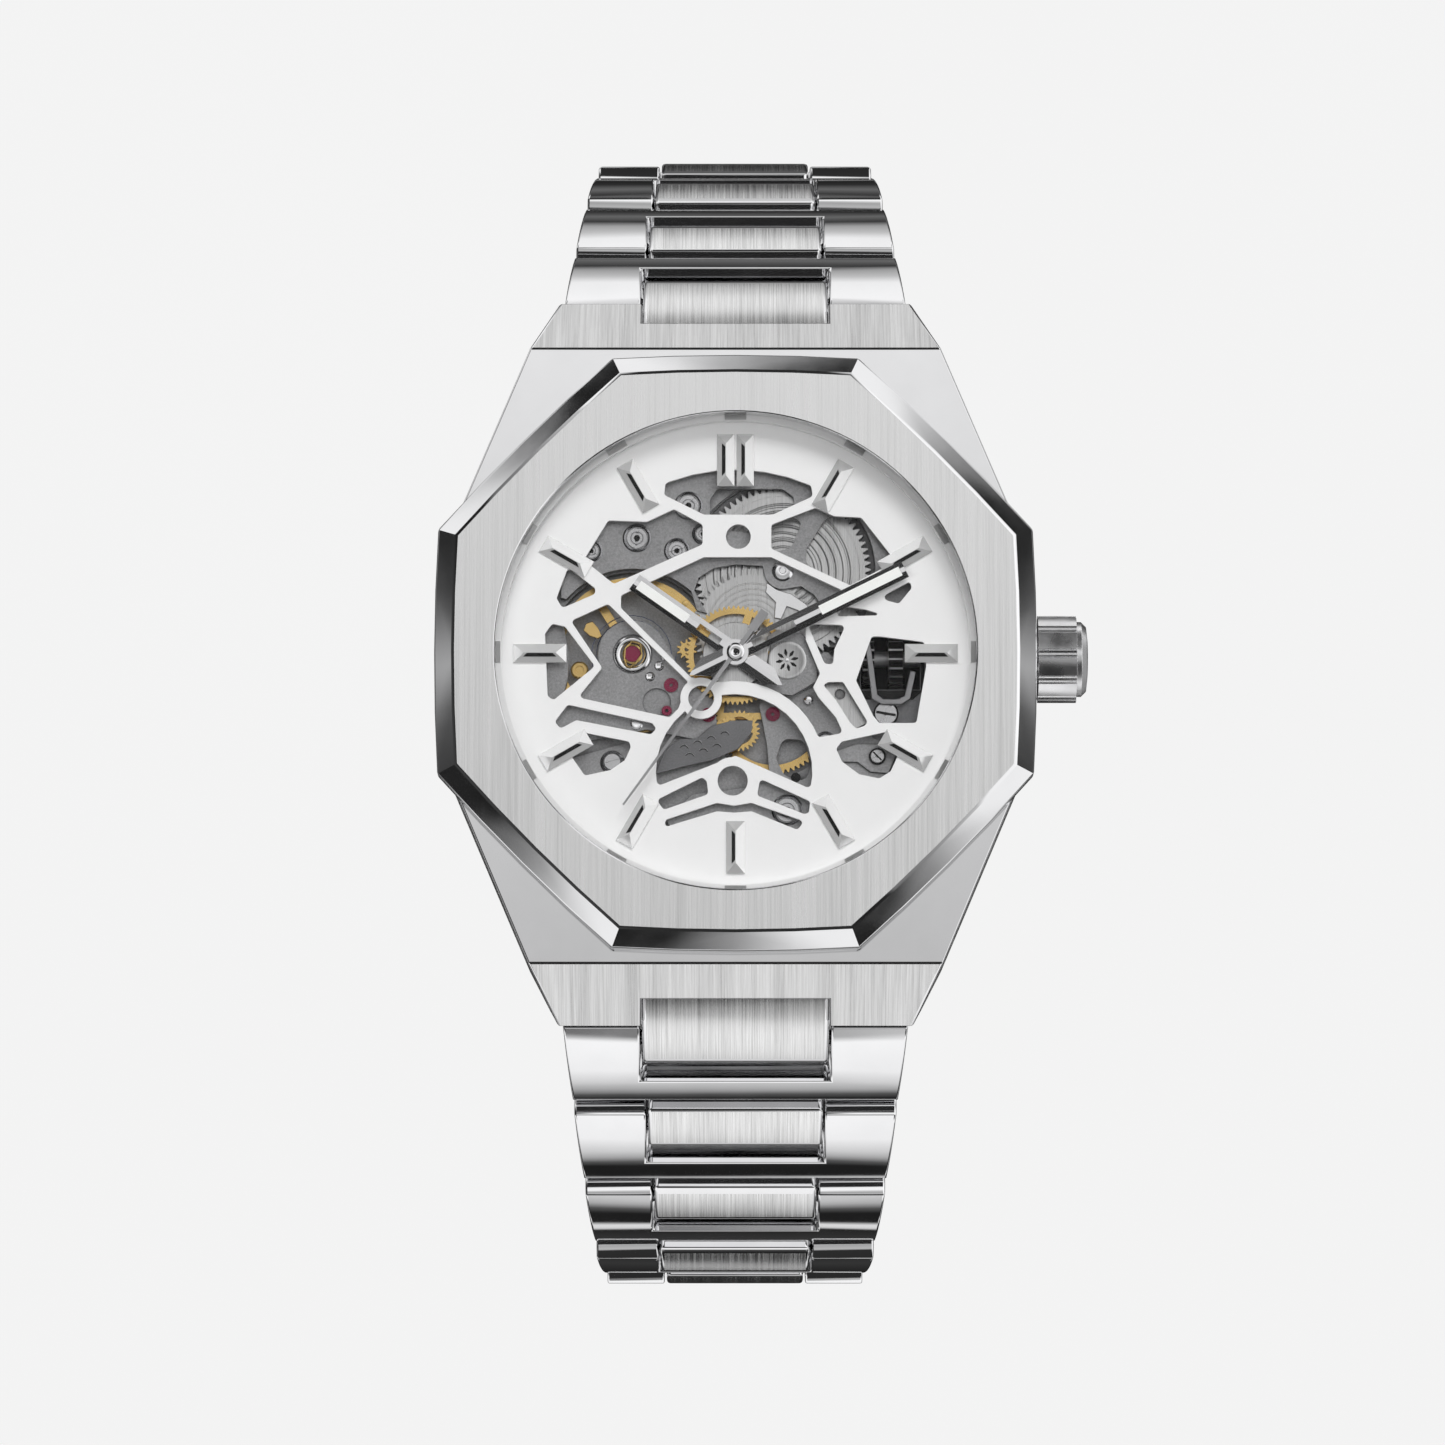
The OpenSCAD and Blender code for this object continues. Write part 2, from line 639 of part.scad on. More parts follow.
module winding_stem() {
    color("dimgray") {
        on_stem(6.6) cylinder(r = 0.55, h = crown_x + 2.9 - 6.6);
        on_stem(10.7) linear_extrude(1) difference() {
            polygon(gear(2.1, 1.7, 20));
            circle(r = 0.4);
        }
        on_stem(8.9) linear_extrude(0.8) difference() {
            polygon(gear(1.8, 1.4, 16));
            circle(r = 0.4);
        }
    }
}

// ---------------------------------------------------------------- bracelet

// Places a shape at pivot i, turned to slope a: +Y runs along the row away
// from the case and +Z points outward. half is 12 or 6, the side it is on.
module at_pivot(half, i, a) {
    mirror([0, half == 6 ? 1 : 0, 0])
        translate([0, pivot(i)[0], pivot(i)[1]]) rotate([-a, 0, 0]) children();
}

// Extrudes a side profile, drawn as [along, outward], across the band.
module across(w) {
    rotate([90, 0, 90]) translate([0, 0, -w / 2]) linear_extrude(w) children();
}

// Plan of a tapering piece from y0, where it is w0 wide, to y1, w1 wide.
module plan(y0, w0, y1, w1) {
    translate([0, 0, -link_t]) linear_extrude(2 * link_t)
        polygon([[-w0 / 2, y0], [w0 / 2, y0], [w1 / 2, y1], [-w1 / 2, y1]]);
}

// A link's side profile between x0 and x1: flat towards the wrist, and
// crowned outside with its highest point half way.
module crowned_bar(x0, x1) {
    intersection() {
        translate([x0, -link_t / 2]) square([x1 - x0, link_t]);
        translate([(x0 + x1) / 2, link_t / 2 - crown_bow]) circle(r = crown_bow);
    }
}

// The region outside a 45 degree chamfer of size c at a bar's far end.
module far_chamfer(x1, c) {
    polygon([[x1 - c, link_t / 2], [x1 + 1, link_t / 2], [x1 + 1, link_t / 2 - c - 1]]);
}

// Side profile of a link whose near end is round about the pivot.
module near_round(length) {
    intersection() {
        union() {
            circle(r = near_r);
            translate([0, -near_r]) square([length, 2 * near_r]);
        }
        crowned_bar(-near_r, length);
    }
}

module outer_link(half, i) {
    cw = centre_w(i) + 2 * play;
    color("silver") at_pivot(half, i, slope[i]) {
        difference() {
            intersection() {
                across(40) difference() {
                    near_round(row_end);
                    far_chamfer(row_end, outer_chamfer);
                }
                plan(-near_r, band_w(i - 1), row_end, band_w(i));
            }
            translate([-cw / 2, -near_r - 1, -link_t]) cube([cw, near_r + 1 + slot_r, 2 * link_t]);
        }
        rotate([0, 90, 0]) cylinder(r = pin_r, h = cw + 1, center = true);
    }
}

// Centre link i reaches back from pivot i and turns with row i - 1, or for
// the first with the case, whose lug notch it fills.
module centre_link(half, i) {
    back = i == 1 ? first_pivot - notch_start - eps : near_r + row_gap;
    color("silver") at_pivot(half, i, slope[i - 1]) difference() {
        across(centre_w(i)) difference() {
            intersection() {
                union() {
                    circle(r = tip_r);
                    translate([-back, -tip_r]) square([back, 2 * tip_r]);
                }
                crowned_bar(-back, tip_r);
            }
            far_chamfer(tip_r, centre_chamfer);
        }
        rotate([0, 90, 0]) cylinder(r = pin_r + pin_play, h = 30, center = true);
    }
}

module first_centre_links() {
    for (half = [12, 6]) centre_link(half, 1);
}

// ---------------------------------------------------------------- clasp

// A block of the clasp, its heights counted from the mid-plane.
module clasp_bar(y0, y1, z0, z1, w) {
    translate([-w / 2, y0, clasp_z + z0]) cube([w, y1 - y0, z1 - z0]);
}

module clasp_cover() {
    cw = centre_w(ROWS + 1) + 2 * play;
    end_y = clasp_half + near_r;
    color("silver") {
        difference() {
            union() {
                at_pivot(12, ROWS + 1, 180) intersection() {
                    across(40) near_round(clasp_half - blade_pin_y + 2);
                    plan(-near_r, band_w_end, 10, band_w_end);
                }
                clasp_bar(clasp_split, blade_pin_y, -link_t / 2, link_t / 2, clasp_w);
            }
            translate([-cw / 2, clasp_half - slot_r, clasp_z - 5]) cube([cw, 12, 10]);
            clasp_bar(clasp_split - 1, blade_pin_y + 1.6, -link_t / 2 + clasp_skin, 4,
                      blade_w + 2 * play);
        }
        translate([0, clasp_half, clasp_z]) rotate([0, 90, 0])
            cylinder(r = pin_r, h = cw + 1, center = true);
        translate([0, blade_pin_y, clasp_z + blade_mid]) rotate([0, 90, 0])
            cylinder(r = 0.35, h = blade_w + 1, center = true);
    }
}

module clasp_blade() {
    cw = centre_w(ROWS + 1) + 2 * play;
    color("silver") difference() {
        union() {
            mirror([0, 1, 0]) translate([0, clasp_half, clasp_z]) rotate([180, 0, 0])
                intersection() {
                    across(band_w_end) near_round(clasp_half + clasp_split - row_gap);
                    plan(-near_r, band_w_end, 12, band_w_end);
                }
            clasp_bar(clasp_split - 1, blade_pin_y, blade_mid - blade_t / 2,
                      blade_mid + blade_t / 2, blade_w);
            translate([0, blade_pin_y, clasp_z + blade_mid]) rotate([0, 90, 0])
                cylinder(r = 0.6, h = blade_w, center = true);
        }
        translate([-cw / 2, -clasp_half - 12 + slot_r, clasp_z - 5]) cube([cw, 12, 10]);
        translate([0, blade_pin_y, clasp_z + blade_mid]) rotate([0, 90, 0])
            cylinder(r = 0.4, h = blade_w + 2, center = true);
    }
}

// ---------------------------------------------------------------- pieces

case_middle();
bezel();
crystal();
chapter_ring();
dial();
hour_batons();
movement_plate();
balance_bridge();
train_bridge();
jewels();
screws();
case_back();
back_glass();
crown_tube();
crown_gasket();
crown();
winding_stem();
hour_hand();
hour_hand_insert();
hour_wheel();
minute_hand();
minute_hand_insert();
centre_wheel();
second_hand();
barrel();
third_wheel();
fourth_wheel();
balance_wheel();
winding_rotor();
clasp_cover();
clasp_blade();
first_centre_links();
for (half = [12, 6]) for (i = [1:ROWS]) {
    outer_link(half, i);
    centre_link(half, i + 1);
}
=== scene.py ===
"""Looks of the skeleton wristwatch: materials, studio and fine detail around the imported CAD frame."""
import math

import bmesh
import bpy
from mathutils import Matrix, Vector


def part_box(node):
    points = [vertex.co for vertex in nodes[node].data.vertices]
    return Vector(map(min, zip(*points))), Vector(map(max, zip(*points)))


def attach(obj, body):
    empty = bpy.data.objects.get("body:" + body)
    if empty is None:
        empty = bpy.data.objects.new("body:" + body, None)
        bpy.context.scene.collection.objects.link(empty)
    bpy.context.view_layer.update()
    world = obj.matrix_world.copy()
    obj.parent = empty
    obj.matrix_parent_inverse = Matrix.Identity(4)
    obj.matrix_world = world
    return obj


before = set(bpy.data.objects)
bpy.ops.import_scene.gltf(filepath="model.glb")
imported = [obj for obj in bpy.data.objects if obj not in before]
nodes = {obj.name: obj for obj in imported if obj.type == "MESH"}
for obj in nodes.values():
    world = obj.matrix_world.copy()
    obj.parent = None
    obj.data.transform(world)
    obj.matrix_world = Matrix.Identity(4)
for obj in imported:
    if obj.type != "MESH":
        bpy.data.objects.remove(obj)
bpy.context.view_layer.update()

MM = 0.001


def top_of(name):
    """Height of a CAD node's top in millimetres."""
    return round(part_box(name)[1].z / MM, 3)


def bottom_of(name):
    """Height of a CAD node's underside in millimetres."""
    return round(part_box(name)[0].z / MM, 3)


# ---------------------------------------------------------------- camera and studio

# The camera looks at the dial from a little below its axis, on the 6 o'clock side. The dial's
# middle stands a little to the right of the picture's middle, and above it.
TILT = math.radians(7.85)
DISTANCE = 0.6
VIEW_WIDTH = 0.1008
SENSOR = 36
DIAL_RIGHT = 0.91 * MM
DIAL_UP = 4.82 * MM
BACKDROP_GREY = 0.887
FLOOR_GLOW = 0.872


def add_camera():
    """The view that the looks are matched in."""
    cam_data = bpy.data.cameras.new("camera")
    cam = bpy.data.objects.new("camera", cam_data)
    bpy.context.scene.collection.objects.link(cam)
    back = Vector((0, -math.sin(TILT), math.cos(TILT)))
    up = Vector((0, math.cos(TILT), math.sin(TILT)))
    right = up.cross(back)
    dial_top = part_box("dial")[1].z
    target = Vector((0, 0, dial_top)) - DIAL_RIGHT * right - DIAL_UP * up
    cam.matrix_world = Matrix((
        (right.x, up.x, back.x, 0), (right.y, up.y, back.y, 0),
        (right.z, up.z, back.z, 0), (0, 0, 0, 1)))
    cam.location = target + DISTANCE * back
    cam_data.sensor_width = SENSOR
    cam_data.lens = SENSOR * DISTANCE / VIEW_WIDTH
    cam_data.clip_start = 0.01
    cam_data.clip_end = 20
    bpy.context.scene.camera = cam
    bpy.context.scene.view_settings.view_transform = "Standard"


def area_light(name, position, size, power):
    """A soft light aimed at the watch, which the steel doesn't mirror."""
    data = bpy.data.lights.new(name, "AREA")
    data.shape = "RECTANGLE"
    data.size, data.size_y = size
    data.energy = power
    light = bpy.data.objects.new(name, data)
    light.location = position
    light.visible_glossy = False
    light.rotation_euler = (-Vector(position)).to_track_quat("-Z", "Y").to_euler()
    bpy.context.scene.collection.objects.link(light)


class Nodes:
    """A small helper that adds nodes and links them in a node tree."""

    def __init__(self, tree):
        self.tree = tree
        tree.nodes.clear()

    def add(self, kind, inputs=None, **settings):
        """Adds a node; each of its inputs is a value or the socket of another node."""
        node = self.tree.nodes.new(kind)
        for key, value in settings.items():
            setattr(node, key, value)
        for key, value in (inputs or {}).items():
            socket = node.inputs[key]
            if isinstance(value, bpy.types.NodeSocket):
                self.tree.links.new(value, socket)
            else:
                socket.default_value = value
        return node

    def math(self, operation, *values):
        """The result of a math node for one or two values."""
        return self.add("ShaderNodeMath", dict(enumerate(values)), operation=operation).outputs[0]

    def ramp(self, value, stops):
        """Turns a value into greys or colours, given as (position, grey or colour) stops."""
        node = self.add("ShaderNodeValToRGB", {"Fac": value})
        elements = node.color_ramp.elements
        while len(elements) < len(stops):
            elements.new(0.5)
        for element, (position, tone) in zip(elements, stops):
            element.position = position
            element.color = (*tone, 1) if isinstance(tone, tuple) else (tone, tone, tone, 1)
        return node.outputs["Color"]

    def mix(self, factor, first, second):
        """Colour mix; a mix node's colour sockets are inputs 6 and 7 and output 2."""
        node = self.add("ShaderNodeMix", {0: factor, 6: first, 7: second}, data_type="RGBA")
        return node.outputs[2]


def studio_horizon(n, x, level):
    """Upright panels at the horizon, which step from dark to bright eight times round.

    Each flank of the bezel mirrors the horizon in the direction that it faces, so the step falls
    near the middle of each flank. The 3 and 9 o'clock flanks have a narrow bright line instead.
    """
    facing = n.math("ARCTAN2", level, x)
    phase = n.math("FRACT", n.math("ADD", n.math("DIVIDE", facing, math.pi / 4), 8.5))
    panels = n.ramp(phase, [(0.0, 0.5), (0.06, 0.3), (0.16, 0.04), (0.45, 0.015), (0.5, 0.3),
                            (0.56, 1.0), (0.86, 1.1), (1.0, 0.5)])
    sides = n.ramp(phase, [(0.0, 0.3), (0.42, 0.02), (0.46, 0.1), (0.5, 0.45), (0.54, 0.1),
                           (0.58, 0.02), (1.0, 0.3)])
    crosswise = n.ramp(n.math("ABSOLUTE", x), [(0.9, 0.0), (0.94, 1.0)])
    return n.mix(crosswise, panels, sides)


def studio_above(n, x, y, z, level):
    """From the horizon up: the panels, then walls lit from the upper right, then the ceiling."""
    lean = n.math("MULTIPLY", n.math("ADD", x, level), 0.7)
    walls = n.ramp(n.math("ADD", n.math("MULTIPLY", lean, 0.5), 0.5),
                   [(0.2, 0.05), (0.4, 0.015), (0.47, 0.02), (0.5, 0.25), (0.54, 1.0), (0.75, 1.2),
                    (1.0, 0.7)])
    ceiling = n.ramp(n.math("ADD", y, 0.5), [(0.2, 0.6), (0.55, 0.42), (0.6, 0.55), (0.66, 0.8),
                                             (0.72, 1.1), (1.0, 1.2)])
    upper = n.mix(n.ramp(z, [(0.955, 0.0), (0.972, 1.0)]), walls, ceiling)
    upper = n.mix(n.ramp(z, [(0.33, 0.0), (0.45, 1.0)]), studio_horizon(n, x, level), upper)
    return n.mix(dark_cards(n, x, y, z), upper, n.ramp(z, [(0.0, 0.02), (1.0, 0.03)]))


def dark_cards(n, x, y, z):
    """Where two narrow dark cards hang, beyond 6 o'clock and beyond 12 o'clock."""
    front = n.math("MULTIPLY", n.ramp(n.math("MULTIPLY", y, -1.0), [(0.2, 0.0), (0.28, 1.0)]),
                   n.ramp(z, [(0.33, 0.0), (0.38, 1.0)]))
    rear = n.math("MULTIPLY", n.ramp(y, [(0.34, 0.0), (0.42, 1.0)]),
                  n.ramp(z, [(0.1, 0.0), (0.15, 1.0)]))
    return n.math("MULTIPLY", n.math("MAXIMUM", front, rear),
                  n.ramp(n.math("ABSOLUTE", x), [(0.18, 1.0), (0.3, 0.0)]))


def studio_below(n, x, y, z):
    """From the horizon down: bands that the bracelet's slopes mirror, which end in near black."""
    depth = n.math("MULTIPLY", z, -1.0)
    front = n.ramp(n.math("ADD", n.math("MULTIPLY", depth, 0.8), 0.2),
                   [(0.0, 1.1), (0.32, 1.0), (0.44, 0.7), (0.5, 0.45), (0.55, 0.1), (0.6, 0.015),
                    (0.7, 0.015), (0.735, 0.85), (0.77, 0.75), (0.79, 0.02), (0.9, 0.04),
                    (1.0, 0.015)])
    rear = n.ramp(depth, [(0.0, 1.1), (0.3, 1.0), (0.4, 0.6), (0.5, 0.4), (0.58, 0.04),
                          (0.68, 0.15), (0.78, 0.03), (0.87, 0.015), (0.9, 0.25), (0.93, 0.015),
                          (1.0, 0.03)])
    below = n.mix(n.ramp(n.math("ADD", y, 0.5), [(0.45, 0.0), (0.55, 1.0)]), front, rear)
    flank = n.ramp(n.math("ADD", z, 0.5), [(0.0, 0.06), (0.3, 0.2), (0.5, 0.5), (0.6, 0.3)])
    return n.mix(n.ramp(n.math("ABSOLUTE", x), [(0.75, 0.0), (0.93, 1.0)]), below, flank)


def studio_world():
    """The studio that polished steel mirrors; the camera itself sees an even pale backdrop."""
    world = bpy.data.worlds.new("studio")
    bpy.context.scene.world = world
    world.use_nodes = True
    n = Nodes(world.node_tree)
    split = n.add("ShaderNodeSeparateXYZ", {0: n.add("ShaderNodeTexCoord").outputs["Generated"]})
    x, y, z = split.outputs["X"], split.outputs["Y"], split.outputs["Z"]
    level = n.math("SUBTRACT", y, math.sin(TILT))
    height = n.math("ADD", z, n.math("MULTIPLY", y, 0.12))
    mirrored = n.mix(n.ramp(n.math("ADD", height, 0.5), [(0.56, 0.0), (0.62, 1.0)]),
                     studio_below(n, x, y, z), studio_above(n, x, y, z, level))
    backdrop = (BACKDROP_GREY, BACKDROP_GREY, BACKDROP_GREY, 1)
    seen = n.add("ShaderNodeBackground", {"Color": backdrop, "Strength": 1.0})
    shade = n.add("ShaderNodeBackground", {"Color": mirrored, "Strength": 1.0})
    camera_ray = n.add("ShaderNodeLightPath").outputs["Is Camera Ray"]
    both = n.add("ShaderNodeMixShader", {0: camera_ray, 1: shade.outputs[0], 2: seen.outputs[0]})
    n.add("ShaderNodeOutputWorld", {"Surface": both.outputs[0]})


def add_stage():
    """A pale, faintly glowing floor a metre below the watch."""
    mesh = bpy.data.meshes.new("floor")
    size, depth = 4.0, -1.0
    mesh.from_pydata([(-size, -size, depth), (size, -size, depth), (size, size, depth),
                      (-size, size, depth)], [], [(0, 1, 2, 3)])
    floor = bpy.data.objects.new("floor", mesh)
    bpy.context.scene.collection.objects.link(floor)
    material = bpy.data.materials.new("floor")
    material.use_nodes = True
    n = Nodes(material.node_tree)
    noise = n.add("ShaderNodeTexNoise", {"Scale": 40.0, "Detail": 3.0})
    color = n.ramp(noise.outputs["Fac"], [(0.3, 0.03), (0.7, 0.04)])
    glow = n.add("ShaderNodeBsdfPrincipled", {"Base Color": color, "Roughness": 0.9,
                                              "Emission Color": (1, 1, 1, 1),
                                              "Emission Strength": FLOOR_GLOW})
    n.add("ShaderNodeOutputMaterial", {"Surface": glow.outputs[0]})
    mesh.materials.append(material)
    floor.visible_glossy = False


# ---------------------------------------------------------------- materials

BUMP_DEPTH = 0.02 * MM
# Reach of the ambient occlusion mask that paints shade into corners and recesses.
RECESS_SHADE_REACH = 0.6 * MM


def new_material(name):
    """A material without nodes, and the helper that adds them."""
    material = bpy.data.materials.new(name)
    material.use_nodes = True
    return material, Nodes(material.node_tree)


def finish_material(n, shader, bump_height=None, bump=0.1):
    """Joins the shader to the output, with a fine bump where a height is given."""
    if bump_height is not None:
        node = n.add("ShaderNodeBump", {"Height": bump_height, "Strength": bump,
                                        "Distance": BUMP_DEPTH})
        n.tree.links.new(node.outputs[0], shader.inputs["Normal"])
    n.add("ShaderNodeOutputMaterial", {"Surface": shader.outputs[0]})


def brushed(name, low=0.5, high=0.8, rough=(0.26, 0.4), fine=9000.0, bump=0.12, broad_share=0.35):
    """Steel with straight brush lines along the bracelet, from 12 to 6 o'clock.

    low and high are its darkest and brightest greys, and fine is the closeness of the lines.
    """
    material, n = new_material(name)
    coords = n.add("ShaderNodeTexCoord").outputs["Object"]
    lines = n.add("ShaderNodeMapping", {"Vector": coords, "Scale": (1.0, 0.012, 0.012)})
    fine_noise = n.add("ShaderNodeTexNoise", {"Vector": lines.outputs[0], "Scale": fine,
                                              "Detail": 4.0, "Roughness": 0.7})
    broad = n.add("ShaderNodeTexNoise", {"Vector": lines.outputs[0], "Scale": fine / 12,
                                         "Detail": 2.0})
    both = n.math("ADD", n.math("MULTIPLY", fine_noise.outputs["Fac"], 1 - broad_share),
                  n.math("MULTIPLY", broad.outputs["Fac"], broad_share))
    color = n.ramp(both, [(0.36, low), (0.62, high)])
    rough_value = n.add("ShaderNodeMapRange", {"Value": both, "From Min": 0.35, "From Max": 0.65,
                                               "To Min": rough[0], "To Max": rough[1]})
    shader = n.add("ShaderNodeBsdfPrincipled", {"Base Color": color, "Metallic": 1.0,
                                                "Roughness": rough_value.outputs[0]})
    finish_material(n, shader, both, bump)
    return material


def polished(name, base=(0.86, 0.86, 0.87), rough=0.05, metallic=1.0):
    """Polished metal with faint smudges; rough runs from a mirror at 0 to satin at about 0.4."""
    material, n = new_material(name)
    coords = n.add("ShaderNodeTexCoord").outputs["Object"]
    noise = n.add("ShaderNodeTexNoise", {"Vector": coords, "Scale": 350.0, "Detail": 5.0})
    value = n.add("ShaderNodeMapRange", {"Value": noise.outputs["Fac"], "From Min": 0.3,
                                         "From Max": 0.7, "To Min": rough * 0.7,
                                         "To Max": rough * 1.6})
    color = n.ramp(noise.outputs["Fac"], [(0.3, tuple(c * 0.96 for c in base)), (0.7, base)])
    shader = n.add("ShaderNodeBsdfPrincipled", {"Base Color": color, "Metallic": metallic,
                                                "Roughness": value.outputs[0]})
    finish_material(n, shader)
    return material


def grained(name, base, rough, metallic=1.0, scale=9000.0, bump=0.25, contrast=0.25, recess_shade=0.0):
    """Frosted or matt surface with a fine even grain; an ambient occlusion mask can paint shade into
    its corners and recesses.
    """
    material, n = new_material(name)
    coords = n.add("ShaderNodeTexCoord").outputs["Object"]
    grain = n.add("ShaderNodeTexNoise", {"Vector": coords, "Scale": scale, "Detail": 3.0,
                                         "Roughness": 0.8})
    cloud = n.add("ShaderNodeTexNoise", {"Vector": coords, "Scale": scale / 30, "Detail": 2.0})
    both = n.math("ADD", n.math("MULTIPLY", grain.outputs["Fac"], 0.7),
                  n.math("MULTIPLY", cloud.outputs["Fac"], 0.3))
    color = n.ramp(both, [(0.35, tuple(c * (1 - contrast) for c in base)), (0.65, base)])
    # Painted shade: the colour darkens where the ambient occlusion mask finds corners and recesses.
    if recess_shade:
        open_sky = n.add("ShaderNodeAmbientOcclusion", {"Distance": RECESS_SHADE_REACH}, samples=8)
        dark = n.ramp(both, [(0.35, tuple(c * (1 - recess_shade) for c in base)),
                             (0.65, tuple(c * (1.05 - recess_shade) for c in base))])
        color = n.mix(n.ramp(open_sky.outputs["AO"], [(0.25, 0.0), (0.85, 1.0)]), dark, color)
    shader = n.add("ShaderNodeBsdfPrincipled", {"Base Color": color, "Metallic": metallic,
                                                "Roughness": rough})
    finish_material(n, shader, grain.outputs["Fac"], bump)
    return material


def clear_glass(name):
    """Coated crystal: almost only its rim and a faint sheen show."""
    material, n = new_material(name)
    weight = n.add("ShaderNodeFresnel", {"IOR": 1.35})
    clear = n.add("ShaderNodeBsdfTransparent", {"Color": (1.0, 1.0, 1.0, 1.0)})
    gloss = n.add("ShaderNodeBsdfGlossy", {"Roughness": 0.02})
    amount = n.math("MULTIPLY", weight.outputs[0], 0.35)
    mix = n.add("ShaderNodeMixShader", {0: amount, 1: clear.outputs[0], 2: gloss.outputs[0]})
    n.add("ShaderNodeOutputMaterial", {"Surface": mix.outputs[0]})
    return material


STEEL = brushed("brushed_steel", 0.5, 0.95)
BEZEL_STEEL = brushed("bezel_brushed", 0.72, 1.0, (0.15, 0.3), fine=4200.0, bump=0.2)
MIRROR = polished("polished_steel")
DIAL = grained("dial_white", (0.87, 0.87, 0.87), 0.38, metallic=0.0, scale=14000.0, bump=0.05,
               contrast=0.03)
RING = grained("ring_grey", (0.8, 0.8, 0.8), 0.35, metallic=0.0, bump=0.05, contrast=0.05)
# The frosted plates get strong painted shade in their recesses.
PLATE = grained("frosted_plate", (0.6, 0.6, 0.61), 0.42, metallic=0.9, scale=6500.0, bump=0.6,
                contrast=0.4, recess_shade=0.85)
DARK_PLATE = grained("dark_plate", (0.3, 0.3, 0.31), 0.4, metallic=0.85, contrast=0.35)
SILVERED = brushed("silvered_wheel", 0.55, 0.8, (0.25, 0.35), bump=0.05)
GILT = polished("gilt", (0.80, 0.56, 0.22), 0.22)
RUBY = polished("ruby", (0.2, 0.015, 0.05), 0.08, metallic=0.3)
LUME = grained("luminous", (0.93, 0.94, 0.92), 0.6, metallic=0.0, scale=16000.0, bump=0.1,
               contrast=0.05)
RUBBER = grained("gasket_rubber", (0.02, 0.02, 0.02), 0.7, metallic=0.0)
GLASS = clear_glass("crystal")
# Darkened steel that paints the shade in the screws' seats and steps.
SHADED_SEAT_STEEL = polished("shaded_seat_steel", (0.3, 0.3, 0.31), 0.2)
BLUED = polished("blued_spring", (0.2, 0.24, 0.4), 0.2)
SPRING_STEEL = brushed("mainspring_steel", 0.4, 0.6, (0.25, 0.35), bump=0.05)
SCREW_STEEL = polished("screw_steel", (0.62, 0.62, 0.63), 0.2)
HAND_GREY = polished("second_hand_steel", (0.5, 0.5, 0.51), 0.3)
SATIN = polished("satin_steel", (0.72, 0.72, 0.73), 0.42)
CROWN_STEEL = polished("crown_steel", (0.88, 0.88, 0.89), 0.27)
MARK_GREY = polished("ring_mark_grey", (0.5, 0.5, 0.5), 0.35)
BATON = polished("baton_steel", (0.93, 0.93, 0.93), 0.16, metallic=0.55)
WORKS_STEEL = polished("works_steel", (0.38, 0.38, 0.39), 0.28)
LINK_STEEL = brushed("link_brushed", 0.55, 0.92, (0.17, 0.27), broad_share=0.15)
# Black for engraved marks, and painted shade in holes, slots, gaps and between gear teeth.
BLACK = grained("black_marks_and_painted_shade", (0.02, 0.02, 0.02), 0.5, metallic=0.5)


# ---------------------------------------------------------------- the CAD pieces

WELD_GAP = 0.002 * MM
BRIDGE_EDGE = 0.07 * MM
CASE_EDGE = 0.12 * MM
BEVEL_ANGLE = math.radians(30)
OUTER_LINK_ROUND = 0.45 * MM
CENTRE_LINK_ROUND = 0.42 * MM
LUG_START = 21.6 * MM
WRIST_MIDDLE = -15 * MM


def bevel(name, width, material_index=None, segments=2):
    """Breaks a node's sharp edges, which show as the thin bright lines of machined steel."""
    obj = nodes[name]
    weld = obj.modifiers.new("weld", "WELD")
    weld.merge_threshold = WELD_GAP
    mod = obj.modifiers.new("bevel", "BEVEL")
    mod.width = width
    mod.segments = segments
    mod.limit_method = "ANGLE"
    mod.angle_limit = BEVEL_ANGLE
    if material_index is not None:
        mod.material = material_index
    if not obj.data.polygons[0].use_smooth:
        smooth(obj, 25)
    even = obj.modifiers.new("even", "WEIGHTED_NORMAL")
    even.keep_sharp = True


def dress(name, materials, pick=None):
    """Gives a CAD node its materials; pick(normal, centre) returns the slot of a face."""
    mesh = nodes[name].data
    mesh.materials.clear()
    for material in materials:
        mesh.materials.append(material)
    for polygon in mesh.polygons:
        polygon.material_index = pick(polygon.normal, polygon.center) if pick else 0


def smooth(obj, angle=35):
    """Smooth shading except across edges sharper than the angle.

    The CAD meshes come with their faces split apart, so the two copies of an edge are matched
    by place before the angle between their faces is measured.
    """
    mesh = obj.data
    spots = [tuple(round(c * 1e7) for c in v.co) for v in mesh.vertices]

    def ends(pair):
        return tuple(sorted((spots[pair[0]], spots[pair[1]])))

    sides = {}
    for polygon in mesh.polygons:
        polygon.use_smooth = True
        for pair in polygon.edge_keys:
            sides.setdefault(ends(pair), []).append(polygon.normal.copy())
    limit = math.cos(math.radians(angle))
    for edge in mesh.edges:
        normals = sides.get(ends(edge.vertices), [])
        edge.use_edge_sharp = any(normals[0].dot(other) < limit for other in normals[1:])


def dress_case():
    """Brushed tops and sides with polished slopes between them."""
    def bezel_pick(normal, centre):
        return 0 if normal.z > 0.99 else 1

    def case_pick(normal, centre):
        on_lug = abs(centre.y) > LUG_START and normal.z > 0.5
        upright = abs(normal.z) < 0.2
        return 0 if on_lug or upright else 1

    dress("bezel", [BEZEL_STEEL, MIRROR], bezel_pick)
    smooth(nodes["bezel"], 12)
    bevel("bezel", CASE_EDGE, 1)
    dress("case_middle", [STEEL, MIRROR], case_pick)
    bevel("case_middle", CASE_EDGE, 1)
    dress("crystal", [GLASS])
    dress("back_glass", [GLASS])
    dress("chapter_ring", [RING])
    dress("dial", [DIAL])
    bevel("dial", 0.06 * MM)
    dress("hour_batons", [BATON])
    dress("case_back", [STEEL])
    bevel("case_back", 0.1 * MM)


